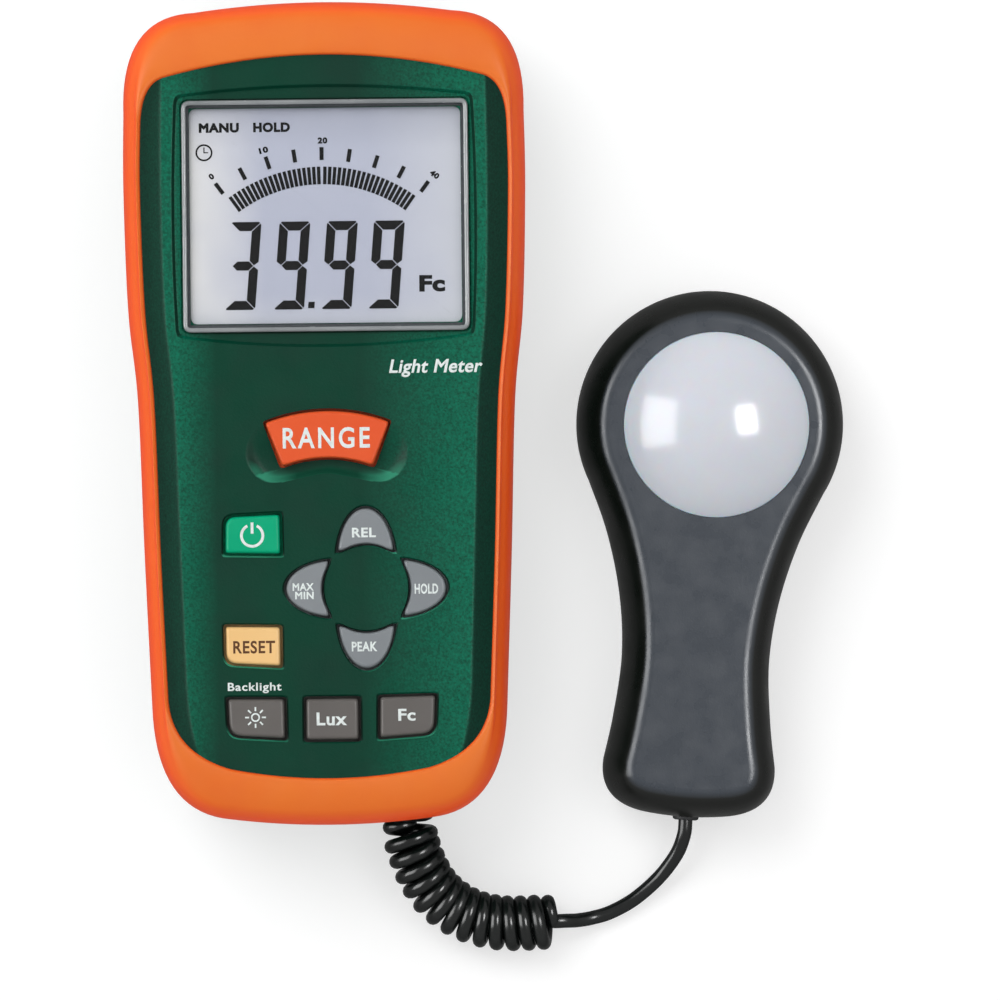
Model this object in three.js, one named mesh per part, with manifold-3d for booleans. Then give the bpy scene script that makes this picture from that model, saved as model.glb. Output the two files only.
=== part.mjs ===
// Hand-held light meter in a rubber holster, with a remote sensor head on a curly cord.
// The meter lies on its back: +Z rises out of the display, +Y points to the meter's top,
// and the origin is the middle of its back, on the plane that it lies on. Millimetres.

import * as THREE from 'three';
import { mergeVertices } from 'three/addons/utils/BufferGeometryUtils.js';
import Module from 'manifold-3d';

const wasm = await Module();
wasm.setup();

// ---------------------------------------------------------------- driving dimensions

const GAP = 0.3; // between neighbouring pieces
const PARTING_Z = 17; // the plane where the two case shells meet
const PLATEAU_Z = 33; // the front case's raised face
const BEVEL_FOOT_Z = 28.2; // where the front case's side bevels start
const SHELL_WALL = 2.2;
const BACK_WALL = 2.8;

// Right half of each outline of the meter, from its top middle round to its bottom middle.
const HOLSTER_OUTLINE = {
  top: 75,
  topCorner: [23.5, 73.3],
  topControl: [37, 72.8],
  side: [[36.5, 55], [36.65, 41], [36, 19], [34.4, 2.5], [33.5, -25], [32.4, -53]],
  bottomControl: [31.9, -72.4],
  bottomCorner: [18.4, -73.8],
  bottom: -75,
};
const WINDOW_OUTLINE = {
  top: 65.3,
  topCorner: [29, 61.4],
  topControl: [33, 60.2],
  side: [[33.3, 53], [33.5, 41], [32.8, 19], [31.3, 2.5], [30.4, -25], [29.3, -52]],
  bottomControl: [28.6, -61.5],
  bottomCorner: [18, -64.6],
  bottom: -66.4,
};
const PLATEAU_OUTLINE = {
  top: 71,
  topCorner: [24, 69.8],
  topControl: [29.5, 69],
  side: [[29.6, 62], [29.8, 41], [29.3, 19], [27.8, 2.5], [27, -20], [26, -50]],
  bottomControl: [24.8, -69],
  bottomCorner: [16, -69.6],
  bottom: -70.5,
};

const HOLSTER_TOP_Z = 34.8;
const HOLSTER_WALL = 2.6;
const HOLSTER_BACK_LIP = 2.2;
const HOLSTER_LIP_UNDERSIDE_Z = PLATEAU_Z + GAP;
const BACK_WINDOW_INSET = 4.6;
const CASE_INSET = HOLSTER_WALL + GAP;

const DISPLAY = { x: 0.2, y: 36.05 };
const BEZEL = { width: 52.2, height: 42.2, border: 0.85, radius: 1.6 };
const GLASS = { width: 52.4, height: 44, thickness: 2 };
const LEDGE_TOP_Z = 31.4; // the ledge in the front case that the bezel and lens sit on

const BOARD = { inset: 6.4, bottom: 21, thickness: 1.6 };
const MAT = { bottom: 22.9, thickness: 1.5, domeTop: 25.6 };
const KEY = {
  footZ: 26.6, flangeZ: 28.9, flangeTop: 30.5, topZ: 34, clearance: 0.35, flange: 0.6, edge: 0.4,
};

const BATTERY = { length: 46.2, height: 26.2, depth: 16.8, bottom: 2.3, y: -39 };
const BAY = { halfLength: 25.6, halfHeight: 13.4, roof: 19.4, wall: 1.2 };
const DOOR = { halfLength: 26.6, halfHeight: 14.1, thickness: 1.7, tabHalf: 5.5, tabEnd: -58.6 };
const DOOR_SCREW = { x: 0, y: -56, headZ: 0.05, headHeight: 0.65, headRadius: 2.4, shank: 1.2, tip: 8 };

const STAND = { halfWidth: 18.9, freeEnd: 9, hingeY: 55.9, hingeZ: 1.9, barrel: 1.4, bore: 1 };
const POCKET = { halfWidth: 19.5, low: 8.4, high: 58.5, depth: 3.6, wall: 1.8 };
const FINGER_NOTCH = { halfWidth: 7, depth: 2.4 };
const TRIPOD = { x: 0, y: -10, bore: 3.1, outer: 4.2, length: 7.5 };
const CASE_SCREWS = [[-25, 62.5], [25, 62.5], [-22.9, -60.5], [22.9, -60.5]];
const CASE_SCREW = { headZ: 1, headHeight: 2, headRadius: 2.6, shank: 1.3, tip: 25 };
const CASE_POST = {
  outer: 3.1, bore: 1.6, footing: 4, footingTop: 6, counterbore: 2.9, counterboreTop: 3.4,
};

const JACK = { x: 14.3, z: 9, half: 4.2, front: -67.3, back: -59.5, bore: 3 };
const PLUG = { radius: 4.5, front: -67.6, end: -74.8, pinRadius: 2.7, pinTip: -62 };

// The curly cord's axis, from the plug to the end of its coil, then the plain lead to the head.
const CORD_DIAMETER = 2.6;
const COIL_DIAMETER = 10.3;
const COIL_ROUTE = [
  [14.3, -75.1, 9], [14.4, -77.5, 8.9], [15.2, -80.4, 8.5], [16.4, -83.6, 7.8],
  [18.6, -87.3, 6.8], [21.7, -90.2, 5.9], [25.6, -92.3, 5.5], [30, -93.4, 5.3],
  [34.6, -93.6, 5.3], [40.4, -93.3, 5.3],
];
const LEAD_ROUTE = [
  [41, -93.3, 5.3], [42.6, -93.25, 4.8], [44.8, -93.2, 3.1], [47.5, -92.8, 1.8], [50.9, -91.8, 1.5],
  [55.3, -89.4, 1.6], [59.8, -85.5, 2.6], [63, -81.3, 4.8], [64.4, -77.8, 6.4], [64.7, -75.4, 6.7],
];

// The sensor head in its own frame: the origin in the middle of its round end, its foot towards -Y.
const HEAD = { x: 69.9, y: -2.7, turn: THREE.MathUtils.degToRad(-4.1), partingZ: 10, faceZ: 20 };
const HEAD_RADIUS = 24.4;
const HEAD_SIDE = [[21.5, -11.5], [17.5, -21], [14.6, -32], [13.5, -43], [14.4, -54], [15.7, -62]];
const HEAD_FOOT = { control: [16.4, -69.8], corner: [8, -71.3], end: -71.9 };
const DOME = {
  x: 1.2, radius: 16.9, rise: 7, flange: 17.8, flangeBottom: 16.1, flangeTop: 17.5, wall: 1.8,
};
const FILTER = { radius: 6, bottom: 14.2, top: 15.4 };
const PHOTODIODE = { radius: 4.6, bottom: 11.2, top: 13.9 };
const HEAD_BOARD = { radius: 15, bottom: 9.3, top: 10.9 };
const HEAD_SCREWS = [[0, -25], [-8.6, -61], [8.6, -61]];
const HEAD_SCREW = { headZ: 0.6, headHeight: 1.7, headRadius: 2.2, shank: 1.1, tip: 15 };
const HEAD_POST = {
  outer: 2.6, bore: 1.4, footing: 3.4, footingTop: 4.6, counterbore: 2.5, counterboreTop: 2.6,
};
const GROMMET = { radius: 2.4, collar: 3.3, z: 6.7 };

// ---------------------------------------------------------------- geometry helpers

const vec = ([x, y]) => new THREE.Vector2(x, y);

function samples(curves) {
  const points = [];
  for (const [curve, count] of curves) {
    points.push(...curve.getPoints(count).slice(0, -1));
  }
  return points;
}

// The right half runs clockwise from the top; mirrored and reversed it closes anticlockwise.
function mirrored(right, bottomY) {
  const left = right.slice(1).map((p) => new THREE.Vector2(-p.x, p.y));
  return [...left, new THREE.Vector2(0, bottomY), ...right.slice(1).reverse(), right[0]];
}

function meterOutline(o) {
  const [shoulder, heel] = [o.side[0], o.side[o.side.length - 1]];
  const [topMiddle, bottomMiddle] = [[0, o.top], [0, o.bottom]];
  const crown = [o.topCorner[0] / 2, o.top];
  const keel = [o.bottomCorner[0] / 2, o.bottom];
  const right = samples([
    [new THREE.QuadraticBezierCurve(vec(topMiddle), vec(crown), vec(o.topCorner)), 3],
    [new THREE.QuadraticBezierCurve(vec(o.topCorner), vec(o.topControl), vec(shoulder)), 5],
    [new THREE.SplineCurve(o.side.map(vec)), 7],
    [new THREE.QuadraticBezierCurve(vec(heel), vec(o.bottomControl), vec(o.bottomCorner)), 5],
    [new THREE.QuadraticBezierCurve(vec(o.bottomCorner), vec(keel), vec(bottomMiddle)), 2],
  ]);
  return mirrored(right, o.bottom);
}

function headOutline() {
  const neckAngle = Math.atan2(HEAD_SIDE[0][1], HEAD_SIDE[0][0]);
  const foot = HEAD_SIDE[HEAD_SIDE.length - 1];
  const { control, corner, end } = HEAD_FOOT;
  const sole = [corner[0] / 2, end];
  const right = samples([
    [new THREE.EllipseCurve(0, 0, HEAD_RADIUS, HEAD_RADIUS, Math.PI / 2, neckAngle, true), 9],
    [new THREE.SplineCurve(HEAD_SIDE.map(vec)), 8],
    [new THREE.QuadraticBezierCurve(vec(foot), vec(control), vec(corner)), 5],
    [new THREE.QuadraticBezierCurve(vec(corner), vec(sole), vec([0, end])), 2],
  ]);
  return mirrored(right, end);
}

// Moves an anticlockwise outline inwards by distance (outwards when it is negative).
function inset(points, distance) {
  const count = points.length;
  return points.map((point, i) => {
    const before = points[(i + count - 1) % count];
    const after = points[(i + 1) % count];
    const edgeIn = point.clone().sub(before).normalize();
    const edgeOut = after.clone().sub(point).normalize();
    const normal = new THREE.Vector2(-edgeIn.y - edgeOut.y, edgeIn.x + edgeOut.x).normalize();
    const miter = distance / Math.max(0.5, normal.dot(new THREE.Vector2(-edgeIn.y, edgeIn.x)));
    return point.clone().addScaledVector(normal, miter);
  });
}

// A polygon with each corner [x, y, radius] rounded, anticlockwise.
function roundedPolygon(corners, divisions = 3) {
  const count = corners.length;
  return corners.flatMap(([x, y, radius], i) => {
    const corner = vec([x, y]);
    const before = vec(corners[(i + count - 1) % count]);
    const after = vec(corners[(i + 1) % count]);
    const start = corner.clone().add(before.sub(corner).setLength(radius));
    const end = corner.clone().add(after.sub(corner).setLength(radius));
    return new THREE.QuadraticBezierCurve(start, corner, end).getPoints(divisions);
  });
}

function roundedRectangle(x, y, width, height, radius) {
  const [w, h] = [width / 2, height / 2];
  const corners = [[x - w, y - h], [x + w, y - h], [x + w, y + h], [x - w, y + h]];
  return roundedPolygon(corners.map(([cx, cy]) => [cx, cy, radius]));
}

// A closed solid through rings of equal point count: [points, z] from the lowest up.
function loft(rings) {
  const count = rings[0][0].length;
  const positions = rings.flatMap(([points, z]) => points.flatMap((p) => [p.x, p.y, z]));
  const indices = [];
  for (let ring = 0; ring < rings.length - 1; ring += 1) {
    for (let i = 0; i < count; i += 1) {
      const next = (i + 1) % count;
      const [a, b] = [ring * count + i, ring * count + next];
      indices.push(a, b, b + count, a, b + count, a + count);
    }
  }
  const topStart = (rings.length - 1) * count;
  for (const [a, b, c] of THREE.ShapeUtils.triangulateShape(rings[0][0], [])) {
    indices.push(c, b, a);
  }
  for (const [a, b, c] of THREE.ShapeUtils.triangulateShape(rings[rings.length - 1][0], [])) {
    indices.push(topStart + a, topStart + b, topStart + c);
  }
  const geometry = new THREE.BufferGeometry();
  geometry.setAttribute('position', new THREE.Float32BufferAttribute(positions, 3));
  geometry.setIndex(indices);
  return geometry;
}

const prism = (points, low, high) => loft([[points, low], [points, high]]);

function box(x0, x1, y0, y1, z0, z1) {
  const geometry = new THREE.BoxGeometry(x1 - x0, y1 - y0, z1 - z0);
  return geometry.translate((x0 + x1) / 2, (y0 + y1) / 2, (z0 + z1) / 2);
}

// A solid of revolution about a vertical line, from [radius, z] points that start and end on it.
function turned(profile, x, y, sides = 16) {
  const geometry = new THREE.LatheGeometry(profile.map(vec), sides);
  return geometry.rotateX(Math.PI / 2).translate(x, y, 0);
}

function cylinder(radius, low, high, x, y, sides = 16) {
  const geometry = new THREE.CylinderGeometry(radius, radius, high - low, sides);
  return geometry.rotateX(Math.PI / 2).translate(x, y, (low + high) / 2);
}

function cylinderAlongX(radius, x0, x1, y, z, sides = 12) {
  const geometry = new THREE.CylinderGeometry(radius, radius, x1 - x0, sides);
  return geometry.rotateZ(Math.PI / 2).translate((x0 + x1) / 2, y, z);
}

function cylinderAlongY(radius, y0, y1, x, z, sides = 20) {
  const geometry = new THREE.CylinderGeometry(radius, radius, y1 - y0, sides);
  return geometry.translate(x, (y0 + y1) / 2, z);
}

function tube(route, radius, sides, steps) {
  const section = new THREE.Shape();
  section.absarc(0, 0, radius, 0, Math.PI * 2);
  const path = new THREE.CatmullRomCurve3(route.map(([x, y, z]) => new THREE.Vector3(x, y, z)));
  const options = { extrudePath: path, steps, curveSegments: sides / 2, bevelEnabled: false };
  return new THREE.ExtrudeGeometry(section, options);
}

function solid(geometry) {
  const bare = geometry.clone();
  bare.deleteAttribute('normal');
  bare.deleteAttribute('uv');
  const merged = mergeVertices(bare, 1e-4);
  const index = merged.index.array;
  const kept = [];
  for (let i = 0; i < index.length; i += 3) {
    const [a, b, c] = [index[i], index[i + 1], index[i + 2]];
    if (a !== b && b !== c && c !== a) kept.push(a, b, c);
  }
  return new wasm.Manifold(new wasm.Mesh({
    numProp: 3,
    vertProperties: Float32Array.from(merged.attributes.position.array),
    triVerts: Uint32Array.from(kept),
  }));
}

function geometryOf(manifold) {
  const mesh = manifold.getMesh();
  const geometry = new THREE.BufferGeometry();
  geometry.setAttribute('position', new THREE.BufferAttribute(mesh.vertProperties, 3));
  geometry.setIndex(new THREE.BufferAttribute(mesh.triVerts, 1));
  return geometry;
}

function union(base, ...others) {
  return geometryOf(others.reduce((sum, other) => sum.add(solid(other)), solid(base)));
}

function cut(base, ...tools) {
  return geometryOf(tools.reduce((rest, tool) => rest.subtract(solid(tool)), solid(base)));
}

// ---------------------------------------------------------------- finishes

const FINISHES = {
  orangeRubber: [0xe2642d, 0.55, 0],
  greenPlastic: [0x0f4a38, 0.5, 0],
  blackPlastic: [0x1b1e1c, 0.35, 0],
  greyPlastic: [0x9a9da0, 0.4, 0],
  clearPlastic: [0xe8eef2, 0.05, 0],
  displayGlass: [0xc4c8d6, 0.2, 0],
  whitePlastic: [0xe6e7e4, 0.5, 0],
  opalDome: [0xd6d8de, 0.15, 0],
  greenBoard: [0x1d5a34, 0.5, 0],
  blackSilicone: [0x25282a, 0.7, 0],
  steel: [0xb4b6b8, 0.35, 1],
  brass: [0xb8923f, 0.3, 1],
  batteryJacket: [0x2c2f36, 0.4, 0],
  filterGlass: [0x5d9b6b, 0.1, 0],
  orangeKey: [0xe4603c, 0.45, 0],
  tealKey: [0x14a880, 0.45, 0],
  amberKey: [0xf0c06a, 0.45, 0],
  coolGreyKey: [0x8c9194, 0.45, 0],
  warmGreyKey: [0x625c58, 0.45, 0],
  cordJacket: [0x1d1f20, 0.3, 0],
};

function part(group, name, geometry, finish) {
  const [color, roughness, metalness] = FINISHES[finish];
  const material = new THREE.MeshStandardMaterial({ color, roughness, metalness });
  const mesh = new THREE.Mesh(geometry, material);
  mesh.name = name;
  group.add(mesh);
}

// ---------------------------------------------------------------- keys

// A key's outline is the cap that shows; the case's opening is the same shape, a gap wider.
function leafOutline(turn) {
  const ring = 8.1; // the bare disc in the middle of the four leaf keys
  const [cornerX, cornerY, tip] = [5.1, 6.8, 14.6];
  const half = Math.atan2(cornerX, cornerY);
  const side = new THREE.CubicBezierCurve(
    vec([cornerX, cornerY]), vec([4.8, 10.6]), vec([2.9, tip]), vec([0, tip]),
  ).getPoints(5);
  const up = Math.PI / 2;
  const inner = new THREE.EllipseCurve(0, 0, ring, ring, up + half, up - half, true);
  const otherSide = side.slice(0, -1).reverse().map((p) => new THREE.Vector2(-p.x, p.y));
  const outline = [...side, ...otherSide, ...inner.getPoints(5).slice(1, -1)];
  const centre = new THREE.Vector2(6.9, -31.9);
  return outline.map((p) => p.clone().rotateAround(new THREE.Vector2(), turn).add(centre));
}

function sectorOutline(margin) {
  const centre = [0.1, -31];
  const half = THREE.MathUtils.degToRad(21.2) + margin / 28;
  const [inner, outer] = [22.9 - margin, 31.5 + margin];
  const at = (radius, angle) => [
    centre[0] + radius * Math.sin(angle),
    centre[1] + radius * Math.cos(angle),
  ];
  const steps = [-1, -0.5, 0, 0.5, 1];
  const bottom = steps.map((s) => at(inner, s * half));
  const top = steps.map((s) => at(outer, -s * half));
  return [...bottom, ...top].map(vec);
}

const cornerKeys = {
  power: [[-18.7, -25.3, 0.6], [-8.6, -25.5, 0.6], [-8.7, -18.3, 0.6], [-18.6, -18.7, 1.8]],
  reset: [[-18.7, -45.3, 1.8], [-8.8, -45.9, 0.6], [-8.8, -38.8, 0.6], [-18.8, -38.6, 0.6]],
  backlight: [[-18.2, -58.5, 2.2], [-8.1, -59.1, 0.6], [-8.2, -51.9, 0.6], [-18.5, -51.8, 0.6]],
  lux: [[-4.3, -59.4, 0.6], [5.3, -59.4, 0.6], [5.3, -51.9, 0.6], [-4.3, -51.9, 0.6]],
  footcandle: [[9.1, -59.1, 0.6], [19, -58.4, 2.2], [19.3, -51.5, 0.6], [9.2, -51.7, 0.6]],
};

const KEYS = [
  { name: 'range_button', outline: sectorOutline(0), finish: 'orangeKey' },
  { name: 'power_button', outline: roundedPolygon(cornerKeys.power), finish: 'tealKey' },
  { name: 'relative_button', outline: leafOutline(0), finish: 'coolGreyKey' },
  { name: 'max_min_button', outline: leafOutline(Math.PI / 2), finish: 'coolGreyKey' },
  { name: 'peak_button', outline: leafOutline(Math.PI), finish: 'coolGreyKey' },
  { name: 'hold_button', outline: leafOutline(-Math.PI / 2), finish: 'coolGreyKey' },
  { name: 'reset_button', outline: roundedPolygon(cornerKeys.reset), finish: 'amberKey' },
  { name: 'backlight_button', outline: roundedPolygon(cornerKeys.backlight), finish: 'warmGreyKey' },
  { name: 'lux_button', outline: roundedPolygon(cornerKeys.lux), finish: 'warmGreyKey' },
  { name: 'footcandle_button', outline: roundedPolygon(cornerKeys.footcandle), finish: 'warmGreyKey' },
];

function middle(points) {
  return points.reduce((sum, p) => sum.add(p), new THREE.Vector2()).divideScalar(points.length);
}

// A cap with a flange under the case, on a stem that reaches down to the rubber mat.
function keyGeometry(outline) {
  const centre = middle(outline);
  const stem = outline.map((p) => p.clone().lerp(centre, 0.25));
  const flange = inset(outline, -KEY.flange);
  return loft([
    [stem, KEY.footZ], [stem, KEY.flangeZ], [flange, KEY.flangeZ], [flange, KEY.flangeTop],
    [outline, KEY.flangeTop], [outline, KEY.topZ - KEY.edge], [inset(outline, KEY.edge), KEY.topZ],
  ]);
}

// ---------------------------------------------------------------- holster and case shells

const holsterOutline = meterOutline(HOLSTER_OUTLINE);
const caseOutline = inset(holsterOutline, CASE_INSET);
const plateauOutline = meterOutline(PLATEAU_OUTLINE);

function holster() {
  const profile = [
    [3.4, 0], [1.4, 0.9], [0.4, 3.2], [0, 9], [0, 24], [0.3, 28.5],
    [1, 31.5], [2.1, 33.4], [3.6, 34.4], [6.5, HOLSTER_TOP_Z],
  ];
  const body = loft(profile.map(([depth, z]) => [inset(holsterOutline, depth), z]));
  const cavity = inset(holsterOutline, HOLSTER_WALL);
  const backWindow = inset(holsterOutline, BACK_WINDOW_INSET);
  return cut(
    body,
    prism(cavity, HOLSTER_BACK_LIP, HOLSTER_LIP_UNDERSIDE_Z),
    prism(meterOutline(WINDOW_OUTLINE), PARTING_Z, HOLSTER_TOP_Z + 1),
    prism(backWindow, -1, PARTING_Z),
    cylinderAlongY(PLUG.radius + 0.5, -80, -68, JACK.x, JACK.z),
  );
}

function displayRecess() {
  const corners = [[-27, 14.2], [27, 14.2], [27, 58], [-27, 58]];
  const bulges = [[0, 10.4], [28.2, 36], [0, 61.4], [-28.2, 36]];
  return samples(corners.map((corner, i) => {
    const next = corners[(i + 1) % corners.length];
    return [new THREE.QuadraticBezierCurve(vec(corner), vec(bulges[i]), vec(next)), 6];
  }));
}

function frontCase() {
  const body = loft([
    [caseOutline, PARTING_Z + GAP / 2], [caseOutline, BEVEL_FOOT_Z], [plateauOutline, PLATEAU_Z],
  ]);
  const inner = inset(caseOutline, SHELL_WALL);
  const innerTop = inset(plateauOutline, SHELL_WALL);
  const shell = cut(
    body,
    loft([[inner, PARTING_Z - 1], [inner, BEVEL_FOOT_Z - SHELL_WALL], [innerTop, PLATEAU_Z - SHELL_WALL]]),
  );
  const roof = PLATEAU_Z - 1;
  const { outer, bore } = CASE_POST;
  const posts = CASE_SCREWS.map(([x, y]) => cylinder(outer, PARTING_Z + GAP / 2, roof, x, y, 12));
  const bores = CASE_SCREWS.map(([x, y]) => cylinder(bore, PARTING_Z - 1, roof - 2, x, y, 12));
  const { x, y } = DISPLAY;
  const seat = 2 * GAP;
  const ledge = roundedRectangle(x, y, BEZEL.width + seat, BEZEL.height + seat, BEZEL.radius);
  const view = roundedRectangle(x, y, BEZEL.width - 2.8, BEZEL.height - 3, 1.4);
  const above = PLATEAU_Z + 2;
  const openings = KEYS.map(({ outline }) => prism(inset(outline, -KEY.clearance), BEVEL_FOOT_Z, above));
  return cut(
    union(shell, ...posts),
    ...bores,
    prism(displayRecess(), PLATEAU_Z - 1, above),
    prism(ledge, LEDGE_TOP_Z, above),
    prism(view, BEVEL_FOOT_Z, above),
    prism(sectorOutline(2.6), PLATEAU_Z - 1.2, above),
    ...openings,
  );
}

function rearShell() {
  const landOutline = inset(holsterOutline, BACK_WINDOW_INSET + GAP);
  const step = HOLSTER_BACK_LIP + GAP;
  const top = PARTING_Z - GAP / 2;
  const body = loft([
    [inset(landOutline, 0.6), 0], [landOutline, 0.6], [landOutline, step], [caseOutline, step],
    [caseOutline, top],
  ]);
  const shell = cut(body, prism(inset(caseOutline, SHELL_WALL), BACK_WALL, PARTING_Z + 1));
  const bayLow = BATTERY.y - BAY.halfHeight - BAY.wall;
  const bayHigh = BATTERY.y + BAY.halfHeight + BAY.wall;
  const wide = BAY.halfLength + 3.2;
  const narrow = BAY.halfLength + BAY.wall;
  const pocketHalf = POCKET.halfWidth + 2;
  const { x, y, outer, length } = TRIPOD;
  const { footing, footingTop } = CASE_POST;
  return union(
    shell,
    box(-wide, wide, bayLow, bayHigh, step, top),
    box(-narrow, narrow, bayLow, bayHigh, top - 1, BAY.roof + BAY.wall),
    box(-pocketHalf, pocketHalf, POCKET.low - 4, POCKET.high + 2, step, POCKET.depth + POCKET.wall),
    cylinder(outer + 2.2, step, length + 2, x, y),
    cylinder(3.2, step, 10, DOOR_SCREW.x, DOOR_SCREW.y),
    ...CASE_SCREWS.map(([sx, sy]) => cylinder(footing, step, footingTop, sx, sy, 12)),
  );
}

// The battery bay, the door's seat, and the bore of the door's screw.
function bayTools() {
  const { halfLength, halfHeight, roof } = BAY;
  const deep = DOOR.thickness + GAP;
  const doorHalf = DOOR.halfLength + GAP;
  const doorLow = BATTERY.y - DOOR.halfHeight - GAP;
  const doorHigh = BATTERY.y + DOOR.halfHeight + GAP;
  const tabHalf = DOOR.tabHalf + GAP;
  return [
    box(-halfLength, halfLength, BATTERY.y - halfHeight, BATTERY.y + halfHeight, -1, roof),
    box(-doorHalf, doorHalf, doorLow, doorHigh, -1, deep),
    box(-tabHalf, tabHalf, DOOR.tabEnd - GAP, BATTERY.y, -1, deep),
    cylinder(DOOR_SCREW.shank + GAP, 0, DOOR_SCREW.tip + 0.6, DOOR_SCREW.x, DOOR_SCREW.y, 12),
  ];
}

// The stand's pocket, its finger notch, and the bore of its hinge pin.
function pocketTools() {
  const { halfWidth, low, high, depth } = POCKET;
  const finger = FINGER_NOTCH;
  const pinEnd = halfWidth + 1.7;
  return [
    box(-halfWidth, halfWidth, low, high, -1, depth),
    box(-finger.halfWidth, finger.halfWidth, low - 3, low + 1, -1, finger.depth),
    cylinderAlongX(STAND.bore, -pinEnd, pinEnd, STAND.hingeY, STAND.hingeZ),
  ];
}

function rearCase() {
  const { bore, footingTop, counterbore, counterboreTop } = CASE_POST;
  return cut(
    rearShell(),
    ...bayTools(),
    ...pocketTools(),
    cylinder(TRIPOD.outer + GAP, -1, TRIPOD.length + GAP, TRIPOD.x, TRIPOD.y),
    ...CASE_SCREWS.flatMap(([x, y]) => [
      cylinder(counterbore, -1, counterboreTop, x, y, 12),
      cylinder(bore, 0, footingTop + 2, x, y, 12),
    ]),
    cylinderAlongY(PLUG.radius + GAP, -76, JACK.front + GAP, JACK.x, JACK.z),
  );
}

// ---------------------------------------------------------------- inside the meter

function displayBezel() {
  const { width, height, border, radius } = BEZEL;
  const outer = roundedRectangle(DISPLAY.x, DISPLAY.y, width, height, radius);
  const [clearWidth, clearHeight] = [width - 2 * border, height - 2 * border];
  const inner = roundedRectangle(DISPLAY.x, DISPLAY.y, clearWidth, clearHeight, radius - 0.5);
  const bottom = LEDGE_TOP_Z + GAP;
  const body = loft([[outer, bottom], [outer, PLATEAU_Z - 0.3], [inset(outer, 0.4), PLATEAU_Z + 0.1]]);
  return cut(body, prism(inner, bottom - 1, PLATEAU_Z + 1));
}

function displayLens() {
  const shrink = 2 * (BEZEL.border + GAP);
  const outline = roundedRectangle(
    DISPLAY.x, DISPLAY.y, BEZEL.width - shrink, BEZEL.height - shrink, BEZEL.radius - 0.6,
  );
  return prism(outline, LEDGE_TOP_Z + GAP, PLATEAU_Z - 0.2);
}

const glassTop = PLATEAU_Z - SHELL_WALL - GAP;
const glassBottom = glassTop - GLASS.thickness;
const stripTopEdge = DISPLAY.y - GLASS.height / 2 + 2.8;
const boardTop = BOARD.bottom + BOARD.thickness;

function mainBoard() {
  const outline = inset(holsterOutline, BOARD.inset);
  const board = prism(outline, BOARD.bottom, boardTop);
  return cut(
    board,
    ...CASE_SCREWS.map(([x, y]) => cylinder(3.5, BOARD.bottom - 1, boardTop + 1, x, y, 12)),
  );
}

function keypadMat() {
  const { bottom, thickness, domeTop } = MAT;
  const outline = roundedPolygon([
    [-17.5, -62, 1], [17.5, -62, 1], [20.8, -56, 1], [20.8, 2, 1], [-20.8, 2, 1], [-20.8, -56, 1],
  ]);
  const sheet = prism(outline, bottom, bottom + thickness);
  const domes = KEYS.map(({ outline }) => {
    const { x, y } = middle(outline);
    return turned([[0, bottom], [2.6, bottom], [2, domeTop], [0, domeTop]], x, y, 10);
  });
  return union(sheet, ...domes);
}

const studY = [BATTERY.y - 6.35, BATTERY.y + 6.35];
const studZ = BATTERY.bottom + BATTERY.depth / 2;

function battery() {
  const { length, height, depth, bottom, y } = BATTERY;
  const left = -BAY.halfLength + GAP;
  const right = left + length;
  const body = box(left, right, y - height / 2, y + height / 2, bottom, bottom + depth);
  const studs = studY.map((at) => cylinderAlongX(2.9, right - 1, right + 1.6, at, studZ));
  return union(body, ...studs);
}

function batterySnap() {
  const start = -BAY.halfLength + GAP + BATTERY.length + GAP;
  const plate = box(start, start + 3.6, BATTERY.y - 12, BATTERY.y + 12, studZ - 6, studZ + 6);
  const sockets = studY.map((at) => cylinderAlongX(3.3, start - 1, start + 1.9, at, studZ));
  return cut(plate, ...sockets);
}

function sensorJack() {
  const { x, z, half, front, back, bore } = JACK;
  return cut(
    box(x - half, x + half, front, back, z - half, z + half),
    cylinderAlongY(bore, front - 1, PLUG.pinTip + 0.5, x, z, 16),
  );
}

// Pan head below, shank above, with a cross slot in the head.
function screw(x, y, { headZ, headHeight, headRadius, shank, tip }) {
  const shoulder = headZ + headHeight;
  const headProfile = [[0, headZ], [headRadius, headZ], [headRadius, shoulder]];
  const body = turned([...headProfile, [shank, shoulder], [shank, tip], [0, tip]], x, y, 12);
  const slotTop = headZ + headHeight * 0.6;
  const slotHalf = 0.3;
  const reach = headRadius * 0.65;
  return cut(
    body,
    box(x - reach, x + reach, y - slotHalf, y + slotHalf, headZ - 1, slotTop),
    box(x - slotHalf, x + slotHalf, y - reach, y + reach, headZ - 1, slotTop),
  );
}

function tripodInsert() {
  const { x, y, bore, outer, length } = TRIPOD;
  return cut(cylinder(outer, 0, length, x, y, 20), cylinder(bore, -1, length + 1, x, y, 20));
}

// ---------------------------------------------------------------- moving pieces on the back

function tiltStand() {
  const { halfWidth, freeEnd, hingeY, hingeZ, barrel, bore } = STAND;
  const freeHalf = halfWidth - 3;
  const plate = roundedPolygon([
    [-halfWidth, hingeY, 0.4], [-freeHalf, freeEnd, 4], [freeHalf, freeEnd, 4], [halfWidth, hingeY, 0.4],
  ]);
  return cut(
    union(
      prism(plate, GAP, 2.6),
      cylinderAlongX(barrel, -halfWidth, halfWidth, hingeY, hingeZ),
    ),
    box(-11, 11, 20, 46, -1, 1.1),
    cylinderAlongX(bore, -halfWidth - 1, halfWidth + 1, hingeY, hingeZ),
  );
}

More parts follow.
